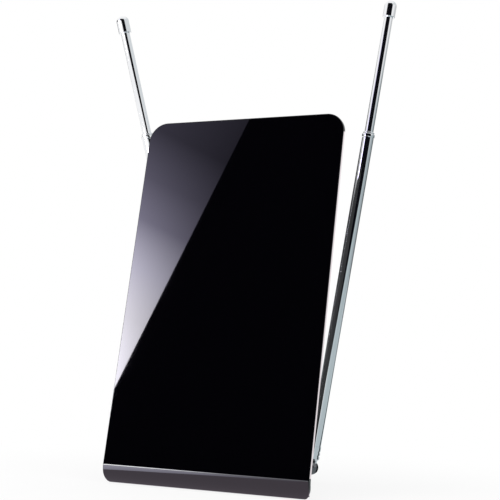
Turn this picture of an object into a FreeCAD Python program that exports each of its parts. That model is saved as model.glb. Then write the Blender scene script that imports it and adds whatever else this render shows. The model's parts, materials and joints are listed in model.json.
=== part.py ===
import FreeCAD, Part
import math
import os
import Sketcher

# Flat indoor TV antenna: a leaning gloss panel on a weighted foot, with two telescopic rods.
# Frame: +X right, +Y back, +Z up. The origin is on the table, under the middle of the foot.

doc = FreeCAD.newDocument("flat_antenna")
dims = doc.addObject("Spreadsheet::Sheet", "dims")

# Driving dimensions in millimetres and degrees.
SIZES = {
    # Panel
    "panel_width": 140.0,
    "face_height": 229.0,
    "lean": 11.0,
    "chin_height": 11.0,
    "floor_gap": 1.0,
    "edge_depth": 5.0,
    "cover_wall": 2.0,
    "top_radius": 12.5,
    "bottom_radius": 9.5,
    "crease_radius": 0.8,
    "edge_round": 0.5,
    "edge_bevel": 1.4,
    "rim_clearance": 0.15,
    "back_rise": 5.0,
    "back_inset": 5.0,
    "back_taper": 50.0,
    "back_corner": 8.0,
    "back_wall": 1.8,
    "rim_land": 15.0,
    # Loop element and its ribbon lead
    "element_band": 12.0,
    "element_gap": 8.0,
    "element_clearance": 0.85,
    "element_head": 29.0,
    "element_thickness": 0.5,
    "post_diameter": 4.0,
    "post_inset": 36.0,
    "lead_width": 14.0,
    "lead_thickness": 1.0,
    "lead_headroom": 6.0,
    "lead_clearance": 0.6,
    "lead_standoff": 3.0,
    "lead_slot": 4.0,
    "lead_landing": 4.0,
    # Foot
    "foot_rear": 105.0,
    "foot_front_width": 132.0,
    "foot_rear_width": 37.6,
    "foot_top": 16.0,
    "foot_corner": 8.0,
    "foot_round": 2.5,
    "foot_draft": 2.0,
    "base_wall": 2.0,
    "seat_gap": 0.2,
    "ramp_inset": 20.5,
    "ramp_top": 66.0,
    "ramp_tip": 6.0,
    "ramp_foot": 40.0,
    "ramp_blend": 34.0,
    "ramp_corner": 12.0,
    "bottom_thickness": 2.4,
    "bottom_clearance": 0.2,
    "pad_inset": 11.0,
    "pad_corner": 6.0,
    "pad_recess": 0.8,
    "ballast_inset": 8.7,
    "ballast_gap": 2.5,
    # Screws
    "screw_head": 5.0,
    "screw_head_height": 1.4,
    "screw_shank": 2.6,
    "screw_length": 8.0,
    "screw_clearance": 0.1,
    "pilot_clearance": 0.02,
    "boss_diameter": 6.0,
    "boss_side": 6.0,
    "front_boss_inset": 14.5,
    "rear_boss_inset": 27.0,
    "panel_screw_height": 32.0,
    "panel_screw_spread": 40.0,
    # Circuit board, transformer and aerial socket
    "board_length": 36.0,
    "board_thickness": 1.6,
    "board_clearance": 0.1,
    "board_rear_gap": 18.0,
    "board_post": 6.0,
    "board_screw_spread": 30.0,
    "board_screw_inset": 6.0,
    "core_width": 13.0,
    "core_headroom": 0.5,
    "core_round": 1.6,
    "core_length": 9.0,
    "core_hole": 2.6,
    "core_pitch": 5.5,
    "core_inset": 14.0,
    "socket_diameter": 9.5,
    "socket_length": 11.0,
    "socket_fit": 0.1,
    "solder_gap": 0.1,
    "socket_flange_depth": 2.0,
    "socket_bore": 7.4,
    "socket_bore_depth": 8.0,
    "socket_contact": 1.2,
    "socket_tail": 1.2,
    "socket_tail_length": 20.0,
    "socket_nut_across": 11.0,
    "socket_nut_depth": 2.4,
    "thread_clearance": 0.02,
    # Rod pivots
    "pivot_inset": 14.0,
    "pivot_drop": 4.0,
    "right_spread": 6.5,
    "left_spread": 11.6,
    "right_swing": -6.0,
    "left_swing": 8.8,
    "rod_boss": 9.0,
    "rod_boss_proud": 1.6,
    "rod_boss_length": 6.0,
    "ball_radius": 4.7,
    "knuckle_gap": 2.5,
    "collar_diameter": 6.0,
    "swivel_gap": 0.2,
    "stud_diameter": 3.0,
    "stud_clearance": 0.05,
    "stud_tail": 1.0,
    "stud_contact": 0.5,
    "contact_width": 6.0,
    "contact_reach": 12.0,
    "washer_thickness": 0.8,
    "washer_diameter": 6.6,
    "nut_across": 5.5,
    "nut_thickness": 3.0,
    "nut_gap": 0.1,
    "hinge_pin": 2.0,
    "hinge_clearance": 0.04,
    "pin_recess": 0.5,
    "tongue_thickness": 2.8,
    "tongue_width": 5.6,
    "tongue_clearance": 0.1,
    "slot_floor_gap": 0.4,
    # Telescopic rods
    "ferrule_gap": 0.3,
    "ferrule_length": 9.0,
    "ferrule_diameter": 8.6,
    "ring_width": 0.9,
    "ring_depth": 0.4,
    "ring_pitch": 2.6,
    "spigot_length": 11.0,
    "outer_diameter": 8.0,
    "outer_wall": 0.45,
    "middle_wall": 0.45,
    "inner_wall": 0.45,
    "tube_gap": 0.05,
    "rod_mouth": 229.0,
    "bead_height": 0.35,
    "bead_length": 2.4,
    "middle_lip": 1.4,
    "lip_gap": 0.2,
    "tube_end_gap": 3.4,
    "inner_shortfall": 6.0,
    "right_extension": 83.4,
    "left_extension": 71.8,
    "tip_diameter": 8.5,
    "tip_length": 12.0,
    "tip_socket": 8.0,
    "tip_flat": 0.25,
}

for row, (name, value) in enumerate(SIZES.items(), 1):
    dims.set(f"A{row}", name)
    dims.set(f"B{row}", str(value))
    dims.setAlias(f"B{row}", name)
doc.recompute()

# Shared expressions, all of the sheet's own cells. Distances back are from the front of the chin.
SIN = "sin(dims.lean * 1deg)"
COS = "cos(dims.lean * 1deg)"
TAN = "tan(dims.lean * 1deg)"
CREASE_HEIGHT = "(dims.floor_gap + dims.chin_height)"
PANEL_DEPTH = "(dims.edge_depth + dims.back_rise)"
COVER_FIT = "(dims.cover_wall + dims.rim_clearance)"
BACK_FOOT = f"(-(dims.chin_height - dims.edge_depth * {SIN}) / {COS})"
RIM_BOTTOM = f"({BACK_FOOT} + {COVER_FIT} / {COS})"
RIM_TOP = f"(dims.face_height - {COVER_FIT})"
RIM_SIDE = f"(dims.panel_width / 2 - {COVER_FIT})"


def leaning(back, up):
    """A point behind and above the crease, in the panel's own leaning axes."""
    return (f"({back}) * {COS} - ({up}) * {SIN}", f"({back}) * {SIN} + ({up}) * {COS}")


def seat_plane(depth, height):
    """Distance behind the chin of a plane parallel to the face, at a height above the table."""
    return f"({depth} / {COS} + ({height} - {CREASE_HEIGHT}) * {TAN})"


def along_face(depth, height):
    """Distance up the face of a point at a depth behind it and a height above the table."""
    return f"((({height}) - {CREASE_HEIGHT} + ({depth}) * {SIN}) / {COS})"


# Foot
FOOT_FRONT = f"({seat_plane(PANEL_DEPTH, 'dims.foot_top')} + dims.seat_gap)"
FRONT_REACH = f"(({FOOT_FRONT} + dims.foot_rear) / 2)"
FOOT_CEILING = "(dims.foot_top - dims.base_wall)"
RAMP_CEILING = "(dims.ramp_top - dims.ramp_corner)"
BOTTOM_TOP = "(dims.floor_gap + dims.bottom_thickness)"


def foot_side(back):
    """Half the foot's width at a distance behind the chin."""
    taper = f"(dims.foot_front_width - dims.foot_rear_width) / 2 / (dims.foot_rear - {FOOT_FRONT})"
    return f"(dims.foot_front_width / 2 - ({back} - {FOOT_FRONT}) * {taper})"


RAMP_SIDE = f"({foot_side('dims.ramp_foot')} - dims.ramp_inset)"

# Rod pivots and rods
BALL = "dims.ball_radius"
PIVOT_BACK = "(dims.foot_rear - dims.pivot_inset)"
PIVOT_HEIGHT = f"({FOOT_CEILING} - dims.pivot_drop)"
BOSS_OUTER = f"({foot_side(PIVOT_BACK)} + dims.rod_boss_proud)"
BOSS_INNER = f"({BOSS_OUTER} - dims.rod_boss_length)"
PIVOT_REACH = f"({BOSS_OUTER} + {BALL} + dims.knuckle_gap)"
WASHER_FACE = f"({BOSS_INNER} - dims.stud_contact - dims.washer_thickness)"
STUD_END = f"({WASHER_FACE} - dims.nut_gap - dims.nut_thickness - dims.stud_tail)"
FERRULE_START = f"({BALL} + dims.ferrule_gap)"
FERRULE_END = f"({FERRULE_START} + dims.ferrule_length)"
SPIGOT = "(dims.outer_diameter / 2 - dims.outer_wall - dims.thread_clearance)"
MIDDLE_FOOT = f"({FERRULE_END} + dims.spigot_length + dims.tube_end_gap)"
MIDDLE_MOUTH = "(dims.rod_mouth + dims.middle_lip)"
INNER_LENGTH = f"({MIDDLE_MOUTH} - {MIDDLE_FOOT} - dims.inner_shortfall)"
MIDDLE_DIAMETER = "(dims.outer_diameter - 2 * dims.outer_wall - 2 * dims.tube_gap)"
INNER_DIAMETER = f"({MIDDLE_DIAMETER} - 2 * dims.middle_wall - 2 * dims.tube_gap)"

# Circuit board and what is on it
SOCKET_HEIGHT = f"(({BOTTOM_TOP} + {FOOT_CEILING}) / 2)"
SOCKET_FLANGE = f"({FOOT_CEILING} - {BOTTOM_TOP} - 2 * dims.socket_fit)"
BOARD_TOP = f"({SOCKET_HEIGHT} - dims.socket_tail / 2 - dims.solder_gap)"
BOARD_HEIGHT = f"({BOARD_TOP} - dims.board_thickness)"
BOARD_REAR = "(dims.foot_rear - dims.base_wall - dims.board_rear_gap)"
BOARD_FRONT = f"({BOARD_REAR} - dims.board_length)"
BOARD_SIDE = f"({BOSS_INNER} - dims.board_clearance)"
CORE_TOP = f"({FOOT_CEILING} - dims.core_headroom)"

# Loop element and lead
LEAD_HEIGHT = f"({RAMP_CEILING} - dims.lead_headroom)"
LEAD_MIDDLE = f"({LEAD_HEIGHT} + dims.lead_thickness / 2)"
ELEMENT_BACK = "(dims.cover_wall + dims.element_thickness)"
ELEMENT_SIDE = f"({RIM_SIDE} - dims.rim_land - dims.element_clearance)"
ELEMENT_BASE = f"({along_face(ELEMENT_BACK, LEAD_MIDDLE)} - dims.element_band / 2)"
ELEMENT_TOP = f"({RIM_TOP} - dims.rim_land - dims.element_head)"

# Screws
FRONT_BOSS = f"({FOOT_FRONT} + dims.front_boss_inset)"
REAR_BOSS = "(dims.foot_rear - dims.rear_boss_inset)"
BASE_SCREWS = [
    (f"{side}({foot_side(row)} - dims.boss_side)", row)
    for row in (FRONT_BOSS, REAR_BOSS)
    for side in ("-", "")
]
BOARD_SCREWS = [
    (f"{side}dims.board_screw_spread / 2", f"{BOARD_FRONT} + dims.board_screw_inset") for side in ("-", "")
]
BOARD_SCREW_REACH = f"({BOARD_HEIGHT} - {BOTTOM_TOP})"
PANEL_SCREWS = [(f"{side}dims.panel_screw_spread / 2", "dims.panel_screw_height") for side in ("-", "")]
PANEL_SCREW_REACH = "(dims.screw_length - dims.base_wall)"

# Placements
LEANING = (
    f"placement(vector(0; -{FRONT_REACH}; {CREASE_HEIGHT});"
    " rotation(vector(1; 0; 0); -dims.lean))"
)
STANDING = f"placement(vector(0; -{FRONT_REACH}; 0); rotation(vector(1; 0; 0); 0))"

NODES = {}


def keep(thing, label):
    """Registers a finished sub-part under the name of its file."""
    thing.Label = label
    NODES[label] = thing
    return thing


def new_body(name, placement=STANDING):
    """An empty body at the given placement."""
    body = doc.addObject("PartDesign::Body", name)
    body.setExpression("Placement", placement)
    return body


def sketch_on(body, role, offset=None):
    """A sketch on one of the body's origin planes, moved along the plane's normal by an offset."""
    sketch = body.newObject("Sketcher::SketchObject", f"{body.Name}_{role}_sketch")
    plane = [feature for feature in body.Origin.OriginFeatures if feature.Role == role][0]
    sketch.AttachmentSupport = [(plane, "")]
    sketch.MapMode = "FlatFace"
    if offset is not None:
        sketch.setExpression("AttachmentOffset.Base.z", offset)
    return sketch


def pin_point(sketch, geometry, point, place, guess):
    """Fixes one point of a sketch by two expressions, from a first guess."""
    for kind, expression, start in zip(("DistanceX", "DistanceY"), place, guess):
        index = sketch.addConstraint(Sketcher.Constraint(kind, -1, 1, geometry, point, start))
        sketch.setExpression(f"Constraints[{index}]", expression)


def outline(sketch, corners):
    """A closed outline through corners that are given as pairs of expressions."""
    count = len(corners)
    turn = 2 * math.pi / count
    guesses = [(math.cos(turn * i + 1), math.sin(turn * i + 1)) for i in range(count)]
    first = sketch.GeometryCount
    for i in range(count):
        start = FreeCAD.Vector(*guesses[i], 0)
        end = FreeCAD.Vector(*guesses[(i + 1) % count], 0)
        sketch.addGeometry(Part.LineSegment(start, end), False)
    for i in range(count):
        following = first + (i + 1) % count
        sketch.addConstraint(Sketcher.Constraint("Coincident", first + i, 2, following, 1))
    for i, corner in enumerate(corners):
        pin_point(sketch, first + i, 1, corner, guesses[i])
    return sketch


def rectangle(sketch, low_x, low_y, high_x, high_y):
    """A closed rectangle between two corners."""
    return outline(sketch, [(low_x, low_y), (high_x, low_y), (high_x, high_y), (low_x, high_y)])


def circles(sketch, centres, diameter):
    """Equal circles at centres that are given as pairs of expressions."""
    for number, centre in enumerate(centres, 1):
        guess = FreeCAD.Vector(3 * number, 1, 0)
        index = sketch.addGeometry(Part.Circle(guess, FreeCAD.Vector(0, 0, 1), 1), False)
        pin_point(sketch, index, 3, centre, (guess.x, guess.y))
        size = sketch.addConstraint(Sketcher.Constraint("Diameter", index, 2))
        sketch.setExpression(f"Constraints[{size}]", diameter)
    return sketch


def extrude(body, kind, sketch, length, symmetric=False, reverse=False, taper=None):
    """A pad or pocket of a sketch, in one direction or to both sides of it."""
    before = body.Tip.Shape.Volume if kind == "Pocket" else 0.0
    feature = body.newObject(f"PartDesign::{kind}", f"{body.Name}_{kind}")
    feature.Profile = sketch
    feature.setExpression("Length", length)
    feature.SideType = "Symmetric" if symmetric else "One side"
    feature.Reversed = reverse
    if taper is not None:
        feature.setExpression("TaperAngle", taper)
    doc.recompute()
    if kind == "Pocket" and not feature.Shape.Volume < before:
        raise ValueError(f"{feature.Name} removes nothing")
    return feature


def pad(body, sketch, length, **options):
    """Adds a prism."""
    return extrude(body, "Pad", sketch, length, **options)


def pocket(body, sketch, length, **options):
    """Cuts a prism."""
    return extrude(body, "Pocket", sketch, length, **options)


def revolve(body, sketch, axis):
    """Turns a half section about one of the sketch's axes."""
    feature = body.newObject("PartDesign::Revolution", f"{body.Name}_Revolution")
    feature.Profile = sketch
    feature.ReferenceAxis = (sketch, [axis])
    feature.Angle = 360
    doc.recompute()
    return feature


def edges_where(body, test):
    """Names of the edges of the body's tip that pass a test."""
    edges = body.Tip.Shape.Edges
    return [f"Edge{number}" for number, edge in enumerate(edges, 1) if test(edge)]


def names_of(body, wanted):
    """Names of the given edges in the body's tip."""
    return edges_where(body, lambda edge: any(edge.isSame(other) for other in wanted))


def dress(body, kind, size, names, key="Radius"):
    """A fillet or chamfer on named edges of the body's tip."""
    base = body.Tip
    feature = body.newObject(f"PartDesign::{kind}", f"{body.Name}_{kind}")
    feature.Base = (base, names)
    feature.setExpression(key, size)
    doc.recompute()
    return feature


def runs_along(edge, axis):
    """Whether an edge is straight and parallel to an axis."""
    if edge.Curve.TypeId != "Part::GeomLine":
        return False
    return abs(abs(edge.Curve.Direction.dot(axis)) - 1) < 1e-6


def is_slanted(edge):
    """Whether the two ends of an edge differ along all three axes."""
    ends = [vertex.Point for vertex in edge.Vertexes]
    return min(abs(part) for part in ends[-1] - ends[0]) > 1e-3


def close_to(value, target):
    """Whether two lengths agree to a micron."""
    return abs(value - target) < 1e-3


def middle_of(edge):
    """The point half-way along an edge."""
    return edge.valueAt((edge.FirstParameter + edge.LastParameter) / 2)


def primitive(kind, name, sizes, placement):
    """A Part primitive with its sizes and its place bound to the sheet."""
    solid = doc.addObject(f"Part::{kind}", name)
    for key, expression in sizes.items():
        solid.setExpression(key, expression)
    solid.setExpression("Placement", placement)
    return solid


def joined(name, shapes):
    """Several solids fused into one."""
    fuse = doc.addObject("Part::MultiFuse", name)
    fuse.Shapes = shapes
    return fuse


def cut(name, base, tool):
    """One solid with another taken out of it."""
    result = doc.addObject("Part::Cut", name)
    result.Base = base
    result.Tool = tool
    return result


def group(name, shapes):
    """Separate solids that share one node."""
    compound = doc.addObject("Part::Compound", name)
    compound.Links = shapes
    return compound


def at(x, y, z, axis="vector(0; 0; 1)", angle="0"):
    """A placement expression from a point, a turning axis and an angle."""
    return f"placement(vector({x}; {y}; {z}); rotation({axis}; {angle}))"


ALONG_X = "vector(0; 1; 0)"
ALONG_Y = "vector(1; 0; 0)"
X_AXIS = FreeCAD.Vector(1, 0, 0)
Y_AXIS = FreeCAD.Vector(0, 1, 0)
Z_AXIS = FreeCAD.Vector(0, 0, 1)


def rounded_slab(name, profile, width, top_radius, bottom_radius):
    """A folded slab with rounded corners, padded from its side profile."""
    body = new_body(name, LEANING)
    pad(body, outline(sketch_on(body, "YZ_Plane"), profile), width, symmetric=True)
    lean = math.radians(dims.lean)
    floor_line = FreeCAD.Vector(0, math.cos(lean), math.sin(lean))
    dress(body, "Fillet", top_radius, edges_where(body, lambda edge: runs_along(edge, Y_AXIS)))
    dress(body, "Fillet", bottom_radius, edges_where(body, lambda edge: runs_along(edge, floor_line)))
    return body


def front_cover():
    """Gloss shell: a leaning face that folds into an upright chin, open at the back."""
    slab = rounded_slab("front_slab", [
        ("0", "0"),
        ("0", "dims.face_height"),
        ("dims.edge_depth", "dims.face_height"),
        ("dims.edge_depth", BACK_FOOT),
        (f"dims.chin_height * {SIN}", f"-dims.chin_height * {COS}"),
    ], "dims.panel_width", "dims.top_radius", "dims.bottom_radius")
    dress(slab, "Fillet", "dims.crease_radius", edges_where(
        slab, lambda edge: runs_along(edge, X_AXIS) and close_to(middle_of(edge).z, 0)))
    faces = slab.Tip.Shape.Faces
    back = [face for face in faces if close_to(face.CenterOfMass.y, dims.edge_depth)][0]
    dress(slab, "Chamfer", "dims.edge_bevel", names_of(slab, back.Edges), key="Size")
    dress(slab, "Fillet", "dims.edge_round", names_of(slab, front_rim(slab.Tip.Shape)))
    hollow = rounded_slab("front_hollow", folded_profile("dims.cover_wall", "0"),
                          "dims.panel_width - 2 * dims.cover_wall", "dims.top_radius - dims.cover_wall",
                          "dims.bottom_radius - dims.cover_wall")
    return keep(cut("front_cover", slab, hollow), "front_cover")


def front_rim(shape):
    """The edges round the gloss face and chin, where they turn into the sides."""
    shown = [face for face in shape.Faces if face.normalAt(0, 0).y < -0.5]
    wide = [face for face in shown if face.BoundBox.XLength > dims.panel_width / 2]
    edges = [edge for face in wide for edge in face.Edges]
    return [edge for edge in edges if sum(edge.isSame(other) for other in edges) == 1]


def folded_profile(inset, fit):
    """Side profile of the space behind the gloss face and chin, with a gap all round but at the face."""
    gap = f"({inset} + {fit})"
    floor = f"({gap} - dims.chin_height)"
    fold = f"(({gap} * {COS} - {inset}) / {SIN})"
    return [
        (inset, leaning(gap, fold)[1]),
        (inset, f"dims.face_height - {gap}"),
        ("dims.edge_depth", f"dims.face_height - {gap}"),
        ("dims.edge_depth", f"(dims.edge_depth * {SIN} + {floor}) / {COS}"),
        leaning(gap, floor),
    ]


def rear_cover():
    """Satin tray that plugs the back of the front cover and bulges behind it."""
    body = rounded_slab("rear_cover", folded_profile("dims.cover_wall", "dims.rim_clearance"),
                        f"2 * {RIM_SIDE}", f"dims.top_radius - {COVER_FIT}",
                        f"dims.bottom_radius - {COVER_FIT}")
    bulge = rectangle(sketch_on(body, "XZ_Plane", "-dims.edge_depth"),
                      f"-{RIM_SIDE} + dims.back_inset", f"{RIM_BOTTOM} + dims.back_inset",
                      f"{RIM_SIDE} - dims.back_inset", f"{RIM_TOP} - dims.back_inset")
    pad(body, bulge, "dims.back_rise", reverse=True, taper="-dims.back_taper")
    dress(body, "Fillet", "dims.back_corner", edges_where(
        body, lambda edge: is_slanted(edge) and middle_of(edge).y > dims.edge_depth))
    hollow = rectangle(sketch_on(body, "XZ_Plane", "-dims.cover_wall"),
                       f"-{RIM_SIDE} + dims.rim_land", f"{RIM_BOTTOM} + dims.rim_land",
                       f"{RIM_SIDE} - dims.rim_land", f"{RIM_TOP} - dims.rim_land")
    pocket(body, hollow, f"{PANEL_DEPTH} - dims.back_wall - dims.cover_wall")
    # Posts that hold the loop element against the gloss face, and bosses for the panel screws.
    post_side = f"({ELEMENT_SIDE} - dims.element_band / 2)"
    post_heights = [f"({ELEMENT_BASE} + dims.post_inset)", f"({ELEMENT_TOP} - dims.post_inset)"]
    posts = [(side + post_side, height) for side in ("-", "") for height in post_heights]
    for places, diameter in ((posts, "dims.post_diameter"), (PANEL_SCREWS, "dims.boss_diameter")):
        stems = circles(sketch_on(body, "XZ_Plane", f"-{ELEMENT_BACK}"), places, diameter)
        pad(body, stems, f"{PANEL_DEPTH} - dims.back_wall / 2 - {ELEMENT_BACK}", reverse=True)
    pilots = circles(sketch_on(body, "XZ_Plane", f"-{PANEL_DEPTH}"), PANEL_SCREWS,
                     "dims.screw_shank + 2 * dims.pilot_clearance")
    pocket(body, pilots, f"{PANEL_SCREW_REACH} + dims.screw_clearance", reverse=True)
    lead_along = along_face(PANEL_DEPTH, LEAD_MIDDLE)
    slot = rectangle(sketch_on(body, "XZ_Plane", f"-{PANEL_DEPTH}"),
                     "-dims.lead_width / 2 - dims.screw_clearance", f"{lead_along} - dims.lead_slot / 2",
                     "dims.lead_width / 2 + dims.screw_clearance", f"{lead_along} + dims.lead_slot / 2")
    pocket(body, slot, "dims.back_wall", reverse=True)
    return keep(body, "rear_cover")


def uhf_element():
    """Split loop of thin sheet behind the gloss face."""
    body = new_body("uhf_element", LEANING)
    half = ELEMENT_SIDE
    inner = f"({ELEMENT_SIDE} - dims.element_band)"
    low = ELEMENT_BASE
    high = ELEMENT_TOP
    gap = "dims.element_gap / 2"
    loop = outline(sketch_on(body, "XZ_Plane", "-dims.cover_wall"), [
        (f"-{gap}", low),
        (f"-{half}", low),
        (f"-{half}", high),
        (half, high),
        (half, low),
        (gap, low),
        (gap, f"{low} + dims.element_band"),
        (inner, f"{low} + dims.element_band"),
        (inner, f"{high} - dims.element_band"),
        (f"-{inner}", f"{high} - dims.element_band"),
        (f"-{inner}", f"{low} + dims.element_band"),
        (f"-{gap}", f"{low} + dims.element_band"),
    ])
    pad(body, loop, "dims.element_thickness", reverse=True)
    return keep(body, "uhf_element")


def feed_lead():
    """Flat twin lead from the loop, through both walls and down to the circuit board."""
    body = new_body("feed_lead")
    top = f"({LEAD_HEIGHT} + dims.lead_thickness)"
    start = seat_plane(ELEMENT_BACK, top)
    drop = seat_plane(f"({PANEL_DEPTH} + dims.base_wall + dims.lead_standoff)", top)
    end = f"({BOARD_FRONT} + dims.lead_landing)"
    profile = outline(sketch_on(body, "YZ_Plane"), [
        (start, top),
        (f"{drop} + dims.lead_thickness", top),
        (f"{drop} + dims.lead_thickness", f"{BOARD_TOP} + dims.lead_thickness"),
        (end, f"{BOARD_TOP} + dims.lead_thickness"),
        (end, BOARD_TOP),
        (drop, BOARD_TOP),
        (drop, LEAD_HEIGHT),
        (start, LEAD_HEIGHT),
    ])
    pad(body, profile, "dims.lead_width", symmetric=True)
    return keep(body, "feed_lead")


def foot_outline(inset):
    """Tapered outline of the foot, as seen from above, moved in by a wall."""
    front = f"({FOOT_FRONT} + {inset})"
    rear = f"(dims.foot_rear - {inset})"
    front_side = f"(dims.foot_front_width / 2 - {inset})"
    rear_side = f"(dims.foot_rear_width / 2 - {inset})"
    return [(f"-{front_side}", front), (front_side, front), (rear_side, rear), (f"-{rear_side}", rear)]


def base_top():
    """Moulded foot with a ramp that carries the panel, hollow underneath."""
    body = new_body("base_shell")
    pad(body, outline(sketch_on(body, "XY_Plane", "dims.floor_gap"), foot_outline("0")),
        "dims.foot_top - dims.floor_gap", taper="-dims.foot_draft")
    rear = dims.foot_rear
    dress(body, "Fillet", "dims.foot_corner", edges_where(
        body, lambda edge: abs(edge.tangentAt(edge.FirstParameter).z) > 0.5
        and middle_of(edge).y > rear - dims.foot_corner))
    dress(body, "Fillet", "dims.foot_round", edges_where(
        body, lambda edge: close_to(middle_of(edge).z, dims.foot_top)))
    ramp_back = f"({seat_plane(PANEL_DEPTH, 'dims.ramp_top')} + dims.ramp_tip)"
    ramp = outline(sketch_on(body, "YZ_Plane"), [
        (FOOT_FRONT, "dims.floor_gap"),
        (FOOT_FRONT, f"dims.foot_top + dims.seat_gap / {TAN}"),
        (seat_plane(PANEL_DEPTH, "dims.ramp_top"), "dims.ramp_top"),
        (ramp_back, "dims.ramp_top"),
        ("dims.ramp_foot", "dims.foot_top"),
        ("dims.ramp_foot", "dims.floor_gap"),
    ])
    pad(body, ramp, f"2 * {RAMP_SIDE}", symmetric=True)
    dress(body, "Fillet", "dims.ramp_corner", edges_where(
        body, lambda edge: runs_along(edge, Y_AXIS) and close_to(middle_of(edge).z, dims.ramp_top)))
    dress(body, "Fillet", "dims.ramp_blend", edges_where(
        body, lambda edge: runs_along(edge, X_AXIS) and close_to(middle_of(edge).y, dims.ramp_foot)
        and close_to(middle_of(edge).z, dims.foot_top)))
    inside = outline(sketch_on(body, "XY_Plane", "dims.floor_gap"), foot_outline("dims.base_wall"))
    pocket(body, inside, "dims.foot_top - dims.floor_gap - dims.base_wall", reverse=True)
    dress(body, "Fillet", "dims.foot_corner - dims.base_wall", edges_where(
        body, lambda edge: runs_along(edge, Z_AXIS)
        and middle_of(edge).y > dims.foot_rear - dims.foot_corner))
    ramp_hollow = outline(sketch_on(body, "YZ_Plane"), [
        (seat_plane(f"({PANEL_DEPTH} + dims.base_wall)", FOOT_CEILING), FOOT_CEILING),
        (seat_plane(f"({PANEL_DEPTH} + dims.base_wall)", RAMP_CEILING), RAMP_CEILING),
        (f"{ramp_back} - dims.base_wall", RAMP_CEILING),
        ("dims.ramp_foot - dims.base_wall", FOOT_CEILING),
    ])
    pocket(body, ramp_hollow, f"2 * ({RAMP_SIDE} - dims.base_wall)", symmetric=True)
    bosses = circles(sketch_on(body, "XY_Plane", BOTTOM_TOP), BASE_SCREWS, "dims.boss_diameter")
    pad(body, bosses, f"dims.foot_top - dims.base_wall / 2 - {BOTTOM_TOP}")
    pilots = circles(sketch_on(body, "XY_Plane", BOTTOM_TOP), BASE_SCREWS,
                     "dims.screw_shank + 2 * dims.pilot_clearance")
    pocket(body, pilots, "dims.screw_length - dims.bottom_thickness + dims.screw_head_height"
           " + dims.screw_clearance", reverse=True)
    # Flat bosses for the rod studs stand through both side walls.
    for side in ("", "-"):
        stud = circles(sketch_on(body, "YZ_Plane", side + BOSS_INNER),
                       [(PIVOT_BACK, PIVOT_HEIGHT)], "dims.rod_boss")
        pad(body, stud, "dims.rod_boss_length", reverse=side == "-")
    studs = circles(sketch_on(body, "YZ_Plane"), [(PIVOT_BACK, PIVOT_HEIGHT)],
                    "dims.stud_diameter + 2 * dims.stud_clearance")
    pocket(body, studs, f"2 * {BOSS_OUTER}", symmetric=True)
    socket = circles(sketch_on(body, "XZ_Plane", "-dims.foot_rear"), [("0", SOCKET_HEIGHT)],
                     "dims.socket_diameter + 2 * dims.thread_clearance")
    pocket(body, socket, "dims.base_wall", reverse=True)
    slot = rectangle(sketch_on(body, "XZ_Plane", f"-{seat_plane(PANEL_DEPTH, 'dims.floor_gap')}"),
                     "-dims.lead_width / 2 - dims.screw_clearance",
                     f"{LEAD_MIDDLE} - dims.lead_slot / 2",
                     "dims.lead_width / 2 + dims.screw_clearance",
                     f"{LEAD_MIDDLE} + dims.lead_slot / 2")
    pocket(body, slot, seat_plane("(dims.base_wall + dims.lead_standoff)", RAMP_CEILING))
    holes = [primitive("Cylinder", "panel_hole", {
        "Radius": "dims.screw_shank / 2 + dims.screw_clearance", "Height": "4 * dims.base_wall",
    }, f"{LEANING} * {at(x, f'{PANEL_DEPTH} - dims.base_wall', z, ALONG_Y, '-90')}")
        for x, z in PANEL_SCREWS]
    return keep(cut("base_top", body, joined("panel_holes", holes)), "base_top")


def base_bottom():
    """Plate that closes the foot, with recesses for the pads and screws and posts for the board."""
    body = new_body("base_bottom")
    fit = "(dims.base_wall + dims.bottom_clearance)"
    pad(body, outline(sketch_on(body, "XY_Plane", "dims.floor_gap"), foot_outline(fit)),
        "dims.bottom_thickness")
    dress(body, "Fillet", f"dims.foot_corner - {fit}", edges_where(
        body, lambda edge: runs_along(edge, Z_AXIS)
        and middle_of(edge).y > dims.foot_rear - dims.foot_corner))
    posts = circles(sketch_on(body, "XY_Plane", BOTTOM_TOP), BOARD_SCREWS, "dims.board_post")
    pad(body, posts, BOARD_SCREW_REACH)
    recess = outline(sketch_on(body, "XY_Plane", "dims.floor_gap"),
                     foot_outline("(dims.pad_inset - dims.screw_clearance)"))
    pocket(body, recess, "dims.pad_recess", reverse=True)
    recess_middle = dims.floor_gap + dims.pad_recess / 2
    dress(body, "Fillet", "dims.pad_corner", edges_where(
        body, lambda edge: runs_along(edge, Z_AXIS) and close_to(middle_of(edge).z, recess_middle)))
    heads = circles(sketch_on(body, "XY_Plane", "dims.floor_gap"), BASE_SCREWS,
                    "dims.screw_head + 2 * dims.screw_clearance")
    pocket(body, heads, "dims.screw_head_height", reverse=True)
    shanks = circles(sketch_on(body, "XY_Plane", "dims.floor_gap"), BASE_SCREWS,
                     "dims.screw_shank + 2 * dims.screw_clearance")
    pocket(body, shanks, "dims.bottom_thickness", reverse=True)
    pilots = circles(sketch_on(body, "XY_Plane", BOARD_HEIGHT), BOARD_SCREWS,
                     "dims.screw_shank + 2 * dims.pilot_clearance")
    pocket(body, pilots, f"{BOARD_SCREW_REACH} + dims.screw_clearance")
    return keep(body, "base_bottom")


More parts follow.
